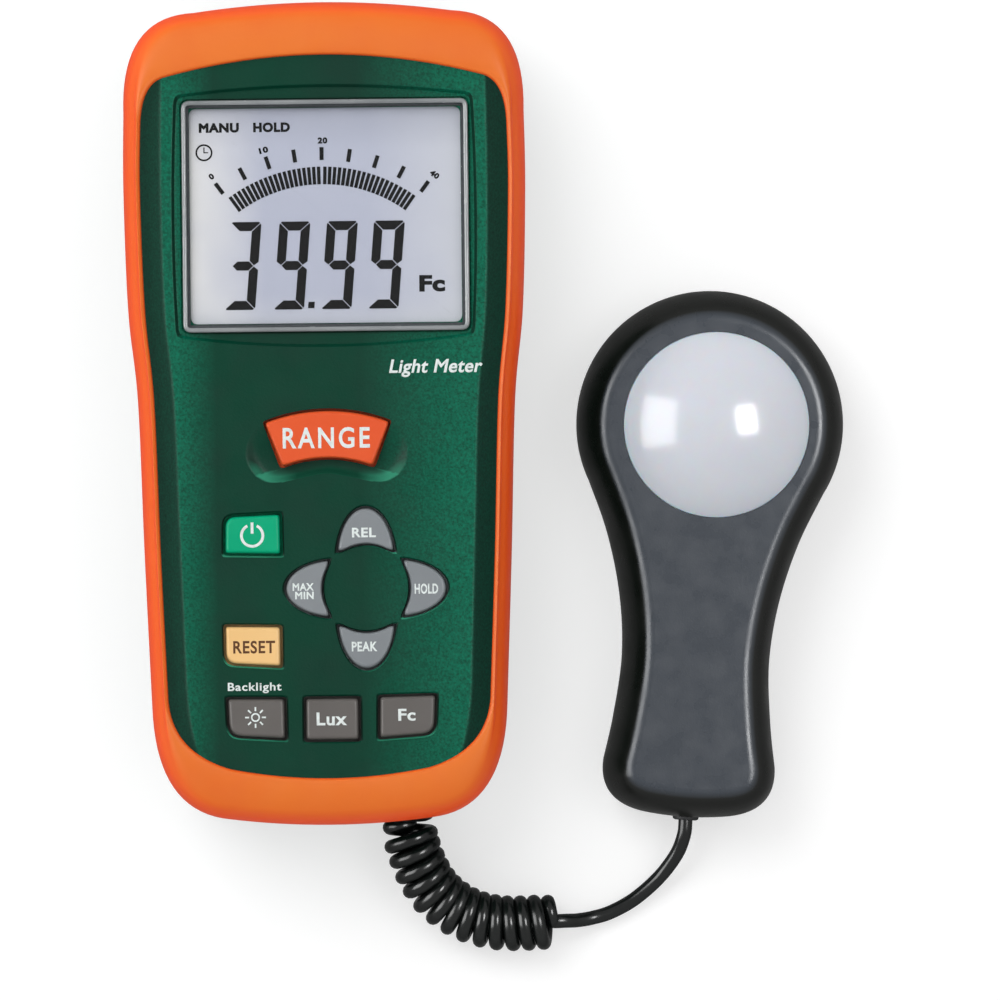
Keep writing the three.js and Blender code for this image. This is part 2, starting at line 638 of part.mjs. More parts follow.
function batteryDoor() {
  const { halfLength, halfHeight, thickness, tabHalf, tabEnd } = DOOR;
  const [low, high] = [BATTERY.y - halfHeight, BATTERY.y + halfHeight];
  const outline = roundedPolygon([
    [-halfLength, low, 1.5], [-tabHalf, low, 0.5], [-tabHalf, tabEnd, 1.5], [tabHalf, tabEnd, 1.5],
    [tabHalf, low, 0.5], [halfLength, low, 1.5], [halfLength, high, 1.5], [-halfLength, high, 1.5],
  ]);
  return cut(
    prism(outline, 0, thickness),
    cylinder(DOOR_SCREW.headRadius + GAP, -1, 1, DOOR_SCREW.x, DOOR_SCREW.y, 12),
    cylinder(DOOR_SCREW.shank + GAP, 0, thickness + 1, DOOR_SCREW.x, DOOR_SCREW.y, 12),
  );
}

// ---------------------------------------------------------------- sensor head

const headShape = headOutline();

function headFrontShell() {
  const { partingZ, faceZ } = HEAD;
  const profile = [[0, partingZ + GAP / 2], [0.9, 14], [3, 18], [4, 19.4], [5.4, faceZ]];
  const body = loft(profile.map(([depth, z]) => [inset(headShape, depth), z]));
  const cavity = loft([
    [inset(headShape, SHELL_WALL), partingZ - 1], [inset(headShape, SHELL_WALL + 0.9), 14],
    [inset(headShape, SHELL_WALL + 3), faceZ - 2.2],
  ]);
  const { outer, bore } = HEAD_POST;
  const posts = HEAD_SCREWS.map(([x, y]) => cylinder(outer, partingZ + GAP / 2, faceZ - 1, x, y, 12));
  return cut(
    union(cut(body, cavity), ...posts),
    ...HEAD_SCREWS.map(([x, y]) => cylinder(bore, partingZ - 1, faceZ - 3, x, y, 12)),
    cylinder(DOME.radius + 0.15, partingZ, faceZ + 1, DOME.x, 0, 28),
  );
}

function headRearShell() {
  const top = HEAD.partingZ - GAP / 2;
  const profile = [[2.6, 0], [0.9, 1.1], [0.2, 3.8], [0, top]];
  const body = loft(profile.map(([depth, z]) => [inset(headShape, depth), z]));
  const shell = cut(body, prism(inset(headShape, SHELL_WALL + 0.4), BACK_WALL, top + 1));
  const { bore, footing, footingTop, counterbore, counterboreTop } = HEAD_POST;
  const bosses = HEAD_SCREWS.map(([x, y]) => cylinder(footing, 1, footingTop, x, y, 12));
  return cut(
    union(shell, ...bosses),
    ...HEAD_SCREWS.flatMap(([x, y]) => [
      cylinder(counterbore, -1, counterboreTop, x, y, 12),
      cylinder(bore, 0, footingTop + 1.4, x, y, 12),
    ]),
    cylinderAlongY(GROMMET.radius + GAP, HEAD_FOOT.end - 3, HEAD_FOOT.end + 4, 0, GROMMET.z, 12),
  );
}

// Points of a dome's section, from one angle to another above the horizontal.
function domeArc(radius, centreZ, from, to, count) {
  const curve = new THREE.EllipseCurve(0, centreZ, radius, radius, from, to, from > to);
  return curve.getPoints(count).map((p) => [Math.max(p.x, 0), p.y]);
}

function diffuserDome() {
  const { x, radius, rise, flange, flangeBottom, flangeTop, wall } = DOME;
  const sphere = (radius * radius + rise * rise) / (2 * rise);
  const centreZ = HEAD.faceZ + rise - sphere;
  const skirt = radius - wall;
  const rim = Math.asin((HEAD.faceZ - centreZ) / sphere);
  const innerRim = Math.acos(skirt / (sphere - wall));
  const neck = radius - 0.15;
  const profile = [
    [skirt, flangeBottom], [flange, flangeBottom], [flange, flangeTop], [neck, flangeTop],
    ...domeArc(sphere, centreZ, rim, Math.PI / 2, 6),
    ...domeArc(sphere - wall, centreZ, Math.PI / 2, innerRim, 4),
    [skirt, flangeBottom],
  ];
  return turned(profile, x, 0, 28);
}

function cordGrommet() {
  const { radius, collar, z } = GROMMET;
  const wallInside = HEAD_FOOT.end + SHELL_WALL + 0.4 + 1.2;
  return cut(
    union(
      cylinderAlongY(radius, HEAD_FOOT.end - 0.6, wallInside + 1.5, 0, z, 12),
      cylinderAlongY(collar, wallInside, wallInside + 1.5, 0, z, 12),
    ),
    cylinderAlongY(CORD_DIAMETER / 2 + 0.05, HEAD_FOOT.end + 1, wallInside + 3, 0, z, 12),
  );
}

// ---------------------------------------------------------------- assembly

const lightMeter = new THREE.Group();

part(lightMeter, 'holster', holster(), 'orangeRubber');
part(lightMeter, 'front_case', frontCase(), 'greenPlastic');
part(lightMeter, 'rear_case', rearCase(), 'greenPlastic');

part(lightMeter, 'display_bezel', displayBezel(), 'greyPlastic');
part(lightMeter, 'display_lens', displayLens(), 'clearPlastic');
const glassHalf = GLASS.width / 2;
const glassLow = DISPLAY.y - GLASS.height / 2;
const glassHigh = DISPLAY.y + GLASS.height / 2;
const glass = box(-glassHalf, glassHalf, glassLow, glassHigh, glassBottom, glassTop);
const panelTop = glassBottom - GAP;
const panel = box(-glassHalf, glassHalf, stripTopEdge + GAP, glassHigh, panelTop - 2.2, panelTop);
const stripHalf = glassHalf - 3;
const strip = box(-stripHalf, stripHalf, glassLow + 0.6, stripTopEdge, boardTop + GAP, glassBottom - GAP);
part(lightMeter, 'lcd_glass', glass, 'displayGlass');
part(lightMeter, 'backlight_panel', panel, 'whitePlastic');
part(lightMeter, 'elastomer_strip', strip, 'blackSilicone');

const underBoard = BOARD.bottom - GAP;
part(lightMeter, 'main_board', mainBoard(), 'greenBoard');
part(lightMeter, 'keypad_mat', keypadMat(), 'blackSilicone');
part(lightMeter, 'controller_chip', box(-8, 8, 26, 42, underBoard - 1.8, underBoard), 'blackPlastic');
part(lightMeter, 'buzzer', cylinder(6, underBoard - 6, underBoard, 14, 4, 16), 'blackPlastic');
part(lightMeter, 'battery', battery(), 'batteryJacket');
part(lightMeter, 'battery_snap', batterySnap(), 'blackPlastic');
part(lightMeter, 'sensor_jack', sensorJack(), 'blackPlastic');
part(lightMeter, 'tripod_insert', tripodInsert(), 'brass');
CASE_SCREWS.forEach(([x, y], i) => {
  part(lightMeter, `case_screw_${i + 1}`, screw(x, y, CASE_SCREW), 'steel');
});
for (const { name, outline, finish } of KEYS) {
  part(lightMeter, name, keyGeometry(outline), finish);
}

part(lightMeter, 'tilt_stand', tiltStand(), 'greenPlastic');
const pinHalf = POCKET.halfWidth + 1.4;
const pin = cylinderAlongX(STAND.bore - GAP, -pinHalf, pinHalf, STAND.hingeY, STAND.hingeZ);
part(lightMeter, 'stand_pin', pin, 'steel');
part(lightMeter, 'battery_door', batteryDoor(), 'greenPlastic');
part(lightMeter, 'battery_door_screw', screw(DOOR_SCREW.x, DOOR_SCREW.y, DOOR_SCREW), 'steel');

const cordSet = new THREE.Group();
lightMeter.add(cordSet);
const barrel = cylinderAlongY(PLUG.pinRadius, JACK.front, PLUG.pinTip, JACK.x, JACK.z, 16);
const plug = cylinderAlongY(PLUG.radius, PLUG.end, PLUG.front, JACK.x, JACK.z);
part(cordSet, 'plug_barrel', barrel, 'steel');
part(cordSet, 'sensor_plug', plug, 'blackPlastic');
part(cordSet, 'cord_coil', tube(COIL_ROUTE, COIL_DIAMETER / 2, 12, 18), 'cordJacket');
part(cordSet, 'cord_lead', tube(LEAD_ROUTE, CORD_DIAMETER / 2, 8, 9), 'cordJacket');

const sensorHead = new THREE.Group();
sensorHead.position.set(HEAD.x, HEAD.y, 0);
sensorHead.rotation.z = HEAD.turn;
lightMeter.add(sensorHead);
part(sensorHead, 'head_front_shell', headFrontShell(), 'blackPlastic');
part(sensorHead, 'head_rear_shell', headRearShell(), 'blackPlastic');
part(sensorHead, 'diffuser_dome', diffuserDome(), 'opalDome');
for (const [name, { radius, bottom, top }, x, finish] of [
  ['photometric_filter', FILTER, DOME.x, 'filterGlass'],
  ['photodiode', PHOTODIODE, DOME.x, 'steel'],
  ['head_board', HEAD_BOARD, 0, 'greenBoard'],
]) {
  part(sensorHead, name, cylinder(radius, bottom, top, x, 0, 24), finish);
}
part(sensorHead, 'cord_grommet', cordGrommet(), 'blackSilicone');
HEAD_SCREWS.forEach(([x, y], i) => {
  part(sensorHead, `head_screw_${i + 1}`, screw(x, y, HEAD_SCREW), 'steel');
});

export default lightMeter;
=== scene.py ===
"""The looks of a hand-held light meter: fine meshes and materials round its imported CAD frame.

The meter lies on its back, with +Z out of the display and +Y towards its top. Drawings in this file are in
millimetres, as on paper, and the mesh builders turn them to metres.
"""

import math

import bmesh
import bpy
from mathutils import Matrix, Vector


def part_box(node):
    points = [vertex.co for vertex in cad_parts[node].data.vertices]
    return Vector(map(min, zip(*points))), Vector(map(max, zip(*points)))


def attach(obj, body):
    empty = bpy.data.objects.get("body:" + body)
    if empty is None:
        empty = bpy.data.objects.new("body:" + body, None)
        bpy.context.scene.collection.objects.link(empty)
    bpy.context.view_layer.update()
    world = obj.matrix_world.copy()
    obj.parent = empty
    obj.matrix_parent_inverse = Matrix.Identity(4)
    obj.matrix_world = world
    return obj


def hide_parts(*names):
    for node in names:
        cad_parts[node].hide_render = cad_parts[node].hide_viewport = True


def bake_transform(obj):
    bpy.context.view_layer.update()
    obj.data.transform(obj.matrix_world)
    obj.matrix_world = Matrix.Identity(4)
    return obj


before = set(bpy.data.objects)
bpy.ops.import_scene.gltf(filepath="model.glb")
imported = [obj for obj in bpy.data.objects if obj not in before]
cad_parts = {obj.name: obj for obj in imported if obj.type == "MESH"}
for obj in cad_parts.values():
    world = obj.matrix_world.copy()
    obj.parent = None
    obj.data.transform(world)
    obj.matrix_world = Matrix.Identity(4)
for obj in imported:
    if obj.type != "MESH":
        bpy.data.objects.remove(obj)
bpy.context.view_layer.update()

MM = 0.001
GAP = 0.3  # between neighbouring pieces

# Where cutters start, clear of the back and of the foot.
BELOW = -1
OFF_FOOT = -76

# ---- the frame's driving dimensions, in millimetres

PARTING_Z = 17.0
PLATEAU_Z = 33.0
BEVEL_FOOT_Z = 28.2
HOLSTER_TOP_Z = 34.8
HOLSTER_WALL = 2.6
CASE_INSET = HOLSTER_WALL + GAP
SHELL_WALL = 2.2
BACK_WALL = 2.8
BACK_LIP = 2.2
BACK_WINDOW_INSET = 4.6

# Right half of each outline of the meter, from its top middle round to its bottom middle.
HOLSTER_OUTLINE = {
    "top": 75,
    "top_corner": (23.5, 73.3),
    "top_control": (37, 72.8),
    "side": [(36.5, 55), (36.65, 41), (36, 19), (34.4, 2.5), (33.5, -25), (32.4, -53)],
    "bottom_control": (31.9, -72.4),
    "bottom_corner": (18.4, -73.8),
    "bottom": -75,
}
WINDOW_OUTLINE = {
    "top": 65.3,
    "top_corner": (29, 61.4),
    "top_control": (33, 60.2),
    "side": [(33.3, 53), (33.5, 41), (32.8, 19), (31.3, 2.5), (30.4, -25), (29.3, -52)],
    "bottom_control": (28.6, -61.5),
    "bottom_corner": (18, -64.6),
    "bottom": -66.4,
}
PLATEAU_OUTLINE = {
    "top": 71,
    "top_corner": (24, 69.8),
    "top_control": (29.5, 69),
    "side": [(29.6, 62), (29.8, 41), (29.3, 19), (27.8, 2.5), (27, -20), (26, -50)],
    "bottom_control": (24.8, -69),
    "bottom_corner": (16, -69.6),
    "bottom": -70.5,
}

HEAD_PARTING_Z = 10.0
HEAD_FACE_Z = 20.0
HEAD_RADIUS = 24.4
HEAD_TURN = math.radians(-4.1)
HEAD_SIDE = [(21.5, -11.5), (17.5, -21), (14.6, -32), (13.5, -43), (14.4, -54), (15.7, -62)]
HEAD_FOOT = {"control": (16.4, -69.8), "corner": (8, -71.3), "end": -71.9}
HEAD_SCREWS = [(0, -25), (-8.6, -61), (8.6, -61)]
DOME_RADIUS = 16.9
DOME_RISE = 7.0
DOME_X = 1.2  # the dome sits a little to one side in the head
DOME_FLANGE = 17.8


def spans(node):
    """The (low, high) of a CAD node on each axis, in millimetres."""
    low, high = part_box(node)
    return [(a / MM, b / MM) for a, b in zip(low, high)]


def middle(node):
    return Vector([(low + high) / 2 for low, high in spans(node)])


HEAD_PLACE = Vector((*middle("head_board").xy, 0)) * MM
HEAD_FRAME = Matrix.Translation(HEAD_PLACE) @ Matrix.Rotation(HEAD_TURN, 4, "Z")

def add_object(name, data):
    obj = bpy.data.objects.new(name, data)
    bpy.context.scene.collection.objects.link(obj)
    return obj


# ---- camera

VIEW_WIDTH = 0.18226
CAMERA_HEIGHT = 5.0
CAMERA_OVER = (0.03142, -0.01611)
FOCUS_PLANE = 0.026
CAMERA_ROLL = math.radians(-0.62)
SENSOR_WIDTH = 36.0


def make_camera():
    """Looks straight down from far off, as a long lens does."""
    data = bpy.data.cameras.new("camera")
    data.sensor_width = SENSOR_WIDTH
    data.lens = SENSOR_WIDTH * CAMERA_HEIGHT / VIEW_WIDTH
    camera = add_object("camera", data)
    camera.location = (*CAMERA_OVER, FOCUS_PLANE + CAMERA_HEIGHT)
    camera.rotation_euler.z = CAMERA_ROLL
    bpy.context.scene.camera = camera


# ---- flat outlines


def bezier(points, count):
    """Points along the Bezier curve of its control points, without its end."""
    line = []
    for i in range(count):
        left = [Vector(p) for p in points]
        while len(left) > 1:
            left = [a.lerp(b, i / count) for a, b in zip(left, left[1:])]
        line += left
    return line


def spline(points, count):
    """A smooth line through points, of count even steps in all, without its end."""
    knots = [Vector(p) for p in points]
    last = len(knots) - 1
    line = []
    for i in range(count):
        at = i / count * last
        k = int(at)
        t = at - k
        before, start, end, after = knots[max(k - 1, 0)], knots[k], knots[k + 1], knots[min(k + 2, last)]
        leave, arrive = (end - before) / 2, (after - start) / 2
        line.append(
            (2 * start - 2 * end + leave + arrive) * t**3
            + (3 * end - 3 * start - 2 * leave - arrive) * t * t
            + leave * t
            + start
        )
    return line


def arc(centre, radius, start, end, count):
    """Points on an arc between two angles, both ends included."""
    angles = [start + (end - start) * i / count for i in range(count + 1)]
    return [Vector((centre[0] + radius * math.cos(a), centre[1] + radius * math.sin(a))) for a in angles]


def mirrored(right, bottom):
    """A whole outline, anticlockwise, from its right half, which runs clockwise from the top."""
    left = [Vector((-p.x, p.y)) for p in right[1:]]
    return [*left, Vector((0, bottom)), *reversed(right[1:]), right[0]]


def meter_outline(shape):
    top, bottom, side = shape["top"], shape["bottom"], shape["side"]
    top_corner, bottom_corner = shape["top_corner"], shape["bottom_corner"]
    right = bezier([(0, top), (top_corner[0] / 2, top), top_corner], 10)
    right += bezier([top_corner, shape["top_control"], side[0]], 18)
    right += spline(side, 40)
    right += bezier([side[-1], shape["bottom_control"], bottom_corner], 18)
    right += bezier([bottom_corner, (bottom_corner[0] / 2, bottom), (0, bottom)], 8)
    return mirrored(right, bottom)


def head_outline():
    neck = math.atan2(HEAD_SIDE[0][1], HEAD_SIDE[0][0])
    corner, end = HEAD_FOOT["corner"], HEAD_FOOT["end"]
    right = arc((0, 0), HEAD_RADIUS, math.pi / 2, neck, 40)[:-1]
    right += spline(HEAD_SIDE, 40)
    right += bezier([HEAD_SIDE[-1], HEAD_FOOT["control"], corner], 18)
    right += bezier([corner, (corner[0] / 2, end), (0, end)], 6)
    return mirrored(right, end)


def inset(points, distance):
    """An anticlockwise outline moved inwards by distance, or outwards when it is negative."""
    moved = []
    for i, point in enumerate(points):
        edge_in = (point - points[i - 1]).normalized()
        edge_out = (points[(i + 1) % len(points)] - point).normalized()
        normal = Vector((-edge_in.y - edge_out.y, edge_in.x + edge_out.x)).normalized()
        moved.append(point + normal * distance / max(0.5, normal.dot(Vector((-edge_in.y, edge_in.x)))))
    return moved


def between(a, b, share):
    """The outline part of the way from a to b, which have the same number of points."""
    return [p.lerp(q, share) for p, q in zip(a, b)]


def shrunk(points, distance):
    """A small outline drawn in by distance on every side, about the middle of its box."""
    xs, ys = [p.x for p in points], [p.y for p in points]
    size = Vector((max(xs) - min(xs), max(ys) - min(ys)))
    centre = Vector((min(xs), min(ys))) + size / 2
    scale = Vector((1 - 2 * distance / size.x, 1 - 2 * distance / size.y))
    return [centre + (p - centre) * scale for p in points]


def softened(points, step, rounds):
    """The outline in even steps, with its corners eased by averaging neighbours."""
    line = []
    for i, point in enumerate(points):
        after = points[(i + 1) % len(points)]
        parts = max(1, round((after - point).length / step))
        line += [point.lerp(after, k / parts) for k in range(parts)]
    for _ in range(rounds):
        line = [(line[i - 1] + line[i] * 2 + line[(i + 1) % len(line)]) / 4 for i in range(len(line))]
    return line


def rounded_polygon(corners, divisions=6):
    """A polygon whose corners (x, y, radius) are rounded, anticlockwise."""
    line = []
    for i, (x, y, radius) in enumerate(corners):
        corner = Vector((x, y))
        before = Vector(corners[i - 1][:2])
        after = Vector(corners[(i + 1) % len(corners)][:2])
        start = corner + (before - corner).normalized() * radius
        end = corner + (after - corner).normalized() * radius
        line += [*bezier([start, corner, end], divisions), end]
    return line


def rectangle(x, y, width, height, radius):
    w, h = width / 2, height / 2
    corners = [(x - w, y - h), (x + w, y - h), (x + w, y + h), (x - w, y + h)]
    return rounded_polygon([(*corner, radius) for corner in corners])


def plan(node, radius, wider=0, taller=0):
    """A CAD node's box seen from above, with rounded corners."""
    x, y, _ = spans(node)
    centre = middle(node)
    return rectangle(centre.x, centre.y, x[1] - x[0] + wider, y[1] - y[0] + taller, radius)


# ---- mesh builders


def level(points, z):
    return [Vector((p.x, p.y, z)) for p in points]


SHARP_ANGLE = math.radians(32)


def shade(mesh):
    """Smooth, but for its sharp edges."""
    mesh.shade_smooth()
    mesh.set_sharp_from_angle(angle=SHARP_ANGLE)


def solid(name, vertices, faces):
    """An object in metres from vertices in millimetres."""
    mesh = bpy.data.meshes.new(name)
    mesh.from_pydata([v * MM for v in vertices], [], faces)
    work = bmesh.new()
    work.from_mesh(mesh)
    bmesh.ops.recalc_face_normals(work, faces=work.faces)
    work.to_mesh(mesh)
    work.free()
    shade(mesh)
    return add_object(name, mesh)


def loft(name, rings, closed=False):
    """A skin through rings of equal point count, capped at both ends or closed on its first ring."""
    count = len(rings[0])
    bands = len(rings) if closed else len(rings) - 1
    faces = []
    for band in range(bands):
        here, there = band * count, (band + 1) % len(rings) * count
        for i in range(count):
            j = (i + 1) % count
            faces.append((here + i, here + j, there + j, there + i))
    if not closed:
        faces.append(tuple(range(count)))
        faces.append(tuple(range((len(rings) - 1) * count, len(rings) * count)))
    return solid(name, [v for ring in rings for v in ring], faces)


def stepped(name, line, rows, closed=False, draw=inset):
    """A skin through one outline, drawn in by each row's distance at each row's height."""
    return loft(name, [level(draw(line, distance), z) for distance, z in rows], closed)


def prism(name, points, low, high):
    return loft(name, [level(points, low), level(points, high)])


def block(name, x, y, z):
    """A box from three (low, high) spans. It is only ever a cutter or part of a shell."""
    corners = [(x[0], y[0]), (x[1], y[0]), (x[1], y[1]), (x[0], y[1])]
    return prism(name, [Vector(c) for c in corners], *z)


def turned(name, profile, place=(0, 0, 0), axis="Z", sides=48, closed=False):
    """A solid of revolution. Its (radius, height) points start and end on its axis unless it is closed."""
    turn = {"X": Matrix.Rotation(math.pi / 2, 3, "Y"), "Y": Matrix.Rotation(-math.pi / 2, 3, "X")}
    matrix = turn.get(axis, Matrix.Identity(3))
    angles = [2 * math.pi * i / sides for i in range(sides)]
    vertices, rows = [], []
    for radius, height in profile:
        row = [0.0] if radius == 0 else angles
        rows.append(range(len(vertices), len(vertices) + len(row)))
        vertices += [
            Vector(place) + matrix @ Vector((radius * math.cos(a), radius * math.sin(a), height)) for a in row
        ]
    faces = []
    for k in range(len(rows) if closed else len(rows) - 1):
        here, there = rows[k], rows[(k + 1) % len(rows)]
        for i in range(sides):
            j = (i + 1) % sides
            ends = [here[i % len(here)], here[j % len(here)], there[j % len(there)], there[i % len(there)]]
            face = tuple(dict.fromkeys(ends))
            if len(face) > 2:
                faces.append(face)
    return solid(name, vertices, faces)


def rod(name, radius, low, high, place=(0, 0, 0), axis="Z", sides=48):
    return turned(name, [(0, low), (radius, low), (radius, high), (0, high)], place, axis, sides)


def crossways(path):
    """Two directions square to a line of points, at each of them, which don't twist along it."""
    side = Vector((0, 0, 1))
    pairs = []
    for i in range(len(path)):
        ahead = (path[min(i + 1, len(path) - 1)] - path[max(i - 1, 0)]).normalized()
        side = (side - ahead * side.dot(ahead)).normalized()
        pairs.append((side, ahead.cross(side)))
    return pairs


def tube(name, path, radius, sides):
    """A round tube along a line of points, with closed ends."""
    angles = [2 * math.pi * k / sides for k in range(sides)]
    rings = [
        [point + (side * math.cos(a) + other * math.sin(a)) * radius for a in angles]
        for point, (side, other) in zip(path, crossways(path))
    ]
    return loft(name, rings)


def settled_mesh(obj):
    """The mesh of an object whose modifiers or letters are worked out."""
    settled = obj.evaluated_get(bpy.context.evaluated_depsgraph_get())
    return bpy.data.meshes.new_from_object(settled)


def combine(obj, cutters, operation):
    """Cuts the cutters from a piece or joins them to it, and uses them up."""
    for cutter in cutters:
        modifier = obj.modifiers.new(operation.lower(), "BOOLEAN")
        modifier.operation = operation
        modifier.solver = "MANIFOLD"
        modifier.object = cutter
    mesh = settled_mesh(obj)
    obj.modifiers.clear()
    obj.data = mesh
    for cutter in cutters:
        bpy.data.objects.remove(cutter)
    shade(mesh)


def cut(obj, *cutters):
    combine(obj, cutters, "DIFFERENCE")


def join(obj, *others):
    combine(obj, others, "UNION")


INK_DEPTH = 0.05  # above and below the surface it is printed on


def stamp(name, polygons, z):
    """Flat marks, each a closed outline, as thin ink on a surface at height z."""
    vertices, faces = [], []
    for points in polygons:
        count, first = len(points), len(vertices)
        vertices += level(points, z - INK_DEPTH) + level(points, z + INK_DEPTH)
        faces.append(tuple(range(first, first + count)))
        faces.append(tuple(range(first + count, first + 2 * count)))
        for i in range(count):
            j = (i + 1) % count
            faces.append((first + i, first + j, first + count + j, first + count + i))
    return solid(name, vertices, faces)


def word_mesh(text, weight, spacing=1.0):
    """Letters in Blender's own face, made bolder by weight."""
    curve = bpy.data.curves.new("word", "FONT")
    curve.body = text
    curve.space_character = spacing
    curve.bevel_depth = weight
    curve.bevel_resolution = 1
    curve.resolution_u = 5
    obj = add_object("word", curve)
    mesh = settled_mesh(obj)
    bpy.data.objects.remove(obj)
    return mesh


def extent(mesh, axis):
    values = [v.co[axis] for v in mesh.vertices]
    return min(values), max(values)


def lettering(name, words, z, weight, spacing, slant=0.0):
    """Printed words. Each is (text, (x, y) of its middle, width, height of its capitals, turn in degrees)."""
    foot, top = extent(word_mesh("H", weight), 1)
    shear = Matrix.Identity(4)
    shear[0][1] = slant
    work = bmesh.new()
    for text, (x, y), width, height, turn in words:
        mesh = word_mesh(text, weight, spacing)
        low, high = extent(mesh, 0)
        scale = (width / (high - low), height / (top - foot), INK_DEPTH / weight, 1)
        mesh.transform(
            Matrix.Scale(MM, 4)
            @ Matrix.Translation((x, y, z))
            @ Matrix.Rotation(math.radians(turn), 4, "Z")
            @ shear
            @ Matrix.Diagonal(scale)
            @ Matrix.Translation((-(low + high) / 2, -(foot + top) / 2, 0))
        )
        work.from_mesh(mesh)
    mesh = bpy.data.meshes.new(name)
    work.to_mesh(mesh)
    work.free()
    return add_object(name, mesh)


# ---- materials


def srgb(red, green, blue):
    """A colour on the 0 to 255 scale as the shader's linear one."""
    levels = [c / 255 for c in (red, green, blue)]
    return (*[c / 12.92 if c <= 0.04045 else ((c + 0.055) / 1.055) ** 2.4 for c in levels], 1)


class Finish:
    """A procedural material, built up from a plain one."""

    def __init__(self, name, colour, roughness, metallic=0.0, specular=0.5, coat=0.0):
        self.material = bpy.data.materials.new(name)
        self.material.use_nodes = True
        self.tree = self.material.node_tree
        self.shader = self.tree.nodes["Principled BSDF"]
        self.set("Base Color", srgb(*colour))
        self.set("Roughness", roughness)
        self.set("Metallic", metallic)
        self.set("Specular IOR Level", specular)
        self.set("Coat Weight", coat)
        self.place = self.tree.nodes.new("ShaderNodeTexCoord").outputs["Object"]

    def set(self, socket, value):
        self.shader.inputs[socket].default_value = value

    def add(self, kind, **settings):
        node = self.tree.nodes.new("ShaderNode" + kind)
        for key, value in settings.items():
            setattr(node, key, value)
        return node

    def link(self, output, target):
        self.tree.links.new(output, target)

    def noise(self, size, detail=2.0, stretch=(1, 1, 1)):
        """Noise whose features are about size millimetres across."""
        mapping = self.add("Mapping")
        mapping.inputs["Scale"].default_value = stretch
        self.link(self.place, mapping.inputs["Vector"])
        node = self.add("TexNoise")
        node.inputs["Scale"].default_value = 1 / (size * MM)
        node.inputs["Detail"].default_value = detail
        self.link(mapping.outputs["Vector"], node.inputs["Vector"])
        return node.outputs["Fac"]

    def ramp(self, value, low, high, start, end):
        """value between low and high, as start to end."""
        node = self.add("MapRange")
        self.link(value, node.inputs["Value"])
        for key, number in {"From Min": low, "From Max": high, "To Min": start, "To Max": end}.items():
            node.inputs[key].default_value = number
        return node.outputs["Result"]

    def position(self, axis):
        """The place along an axis, in metres."""
        node = self.add("SeparateXYZ")
        self.link(self.place, node.inputs["Vector"])
        return node.outputs[axis]

    def facing(self, direction):
        """How far a face turns towards a direction: 1 when it faces it, 0 when it is square to it."""
        node = self.add("VectorMath", operation="DOT_PRODUCT")
        self.link(self.add("NewGeometry").outputs["Normal"], node.inputs[0])
        node.inputs[1].default_value = direction
        return node.outputs["Value"]

    def times(self, first, second):
        node = self.add("Math", operation="MULTIPLY")
        self.link(first, node.inputs[0])
        self.link(second, node.inputs[1])
        return node.outputs["Value"]

    def tint(self, value, colour):
        """Mixes colour in where value is 1, over what the base colour is so far."""
        base = self.shader.inputs["Base Color"]
        node = self.add("Mix", data_type="RGBA")
        if base.is_linked:
            self.link(base.links[0].from_socket, node.inputs["A"])
        else:
            node.inputs["A"].default_value = base.default_value
        node.inputs["B"].default_value = srgb(*colour)
        self.link(value, node.inputs["Factor"])
        self.link(node.outputs["Result"], base)

    def wash(self, value, low, high, amount, colour):
        """Mixes colour in, from none where value is low to amount where it is high."""
        self.tint(self.ramp(value, low, high, 0, amount), colour)

    def gloss(self, size, low, high):
        """Roughness that wanders between low and high."""
        self.link(self.ramp(self.noise(size, 3), 0.35, 0.65, low, high), self.shader.inputs["Roughness"])

    def relief(self, height, depth):
        """Surface relief from a height signal whose full range is depth millimetres."""
        normal = self.shader.inputs["Normal"]
        node = self.add("Bump")
        node.inputs["Distance"].default_value = depth * MM
        self.link(height, node.inputs["Height"])
        if normal.is_linked:
            self.link(normal.links[0].from_socket, node.inputs["Normal"])
        self.link(node.outputs["Normal"], normal)


def moulded(name, colour, dark, roughness, grain=0.35, depth=0.02, **shader):
    """Moulded plastic or rubber: a fine grain, faint clouds of a darker colour, and uneven gloss."""
    finish = Finish(name, colour, roughness, **shader)
    finish.wash(finish.noise(14, 3), 0.4, 0.7, 0.55, dark)
    finish.gloss(5, roughness - 0.05, roughness + 0.06)
    finish.relief(finish.noise(grain, 2), depth)
    return finish


def holster_rubber():
    """Orange rubber, with painted shade that makes it redder down its sides."""
    finish = moulded(
        "holster_rubber", (239, 122, 46), (235, 108, 41), 0.4, grain=0.5, depth=0.012, specular=0.13
    )
    # Painted shade: redder where faces turn away from straight up, down the sides.
    finish.wash(finish.facing((0, 0, 1)), 1, 0.15, 1, (255, 80, 16))
    return finish.material


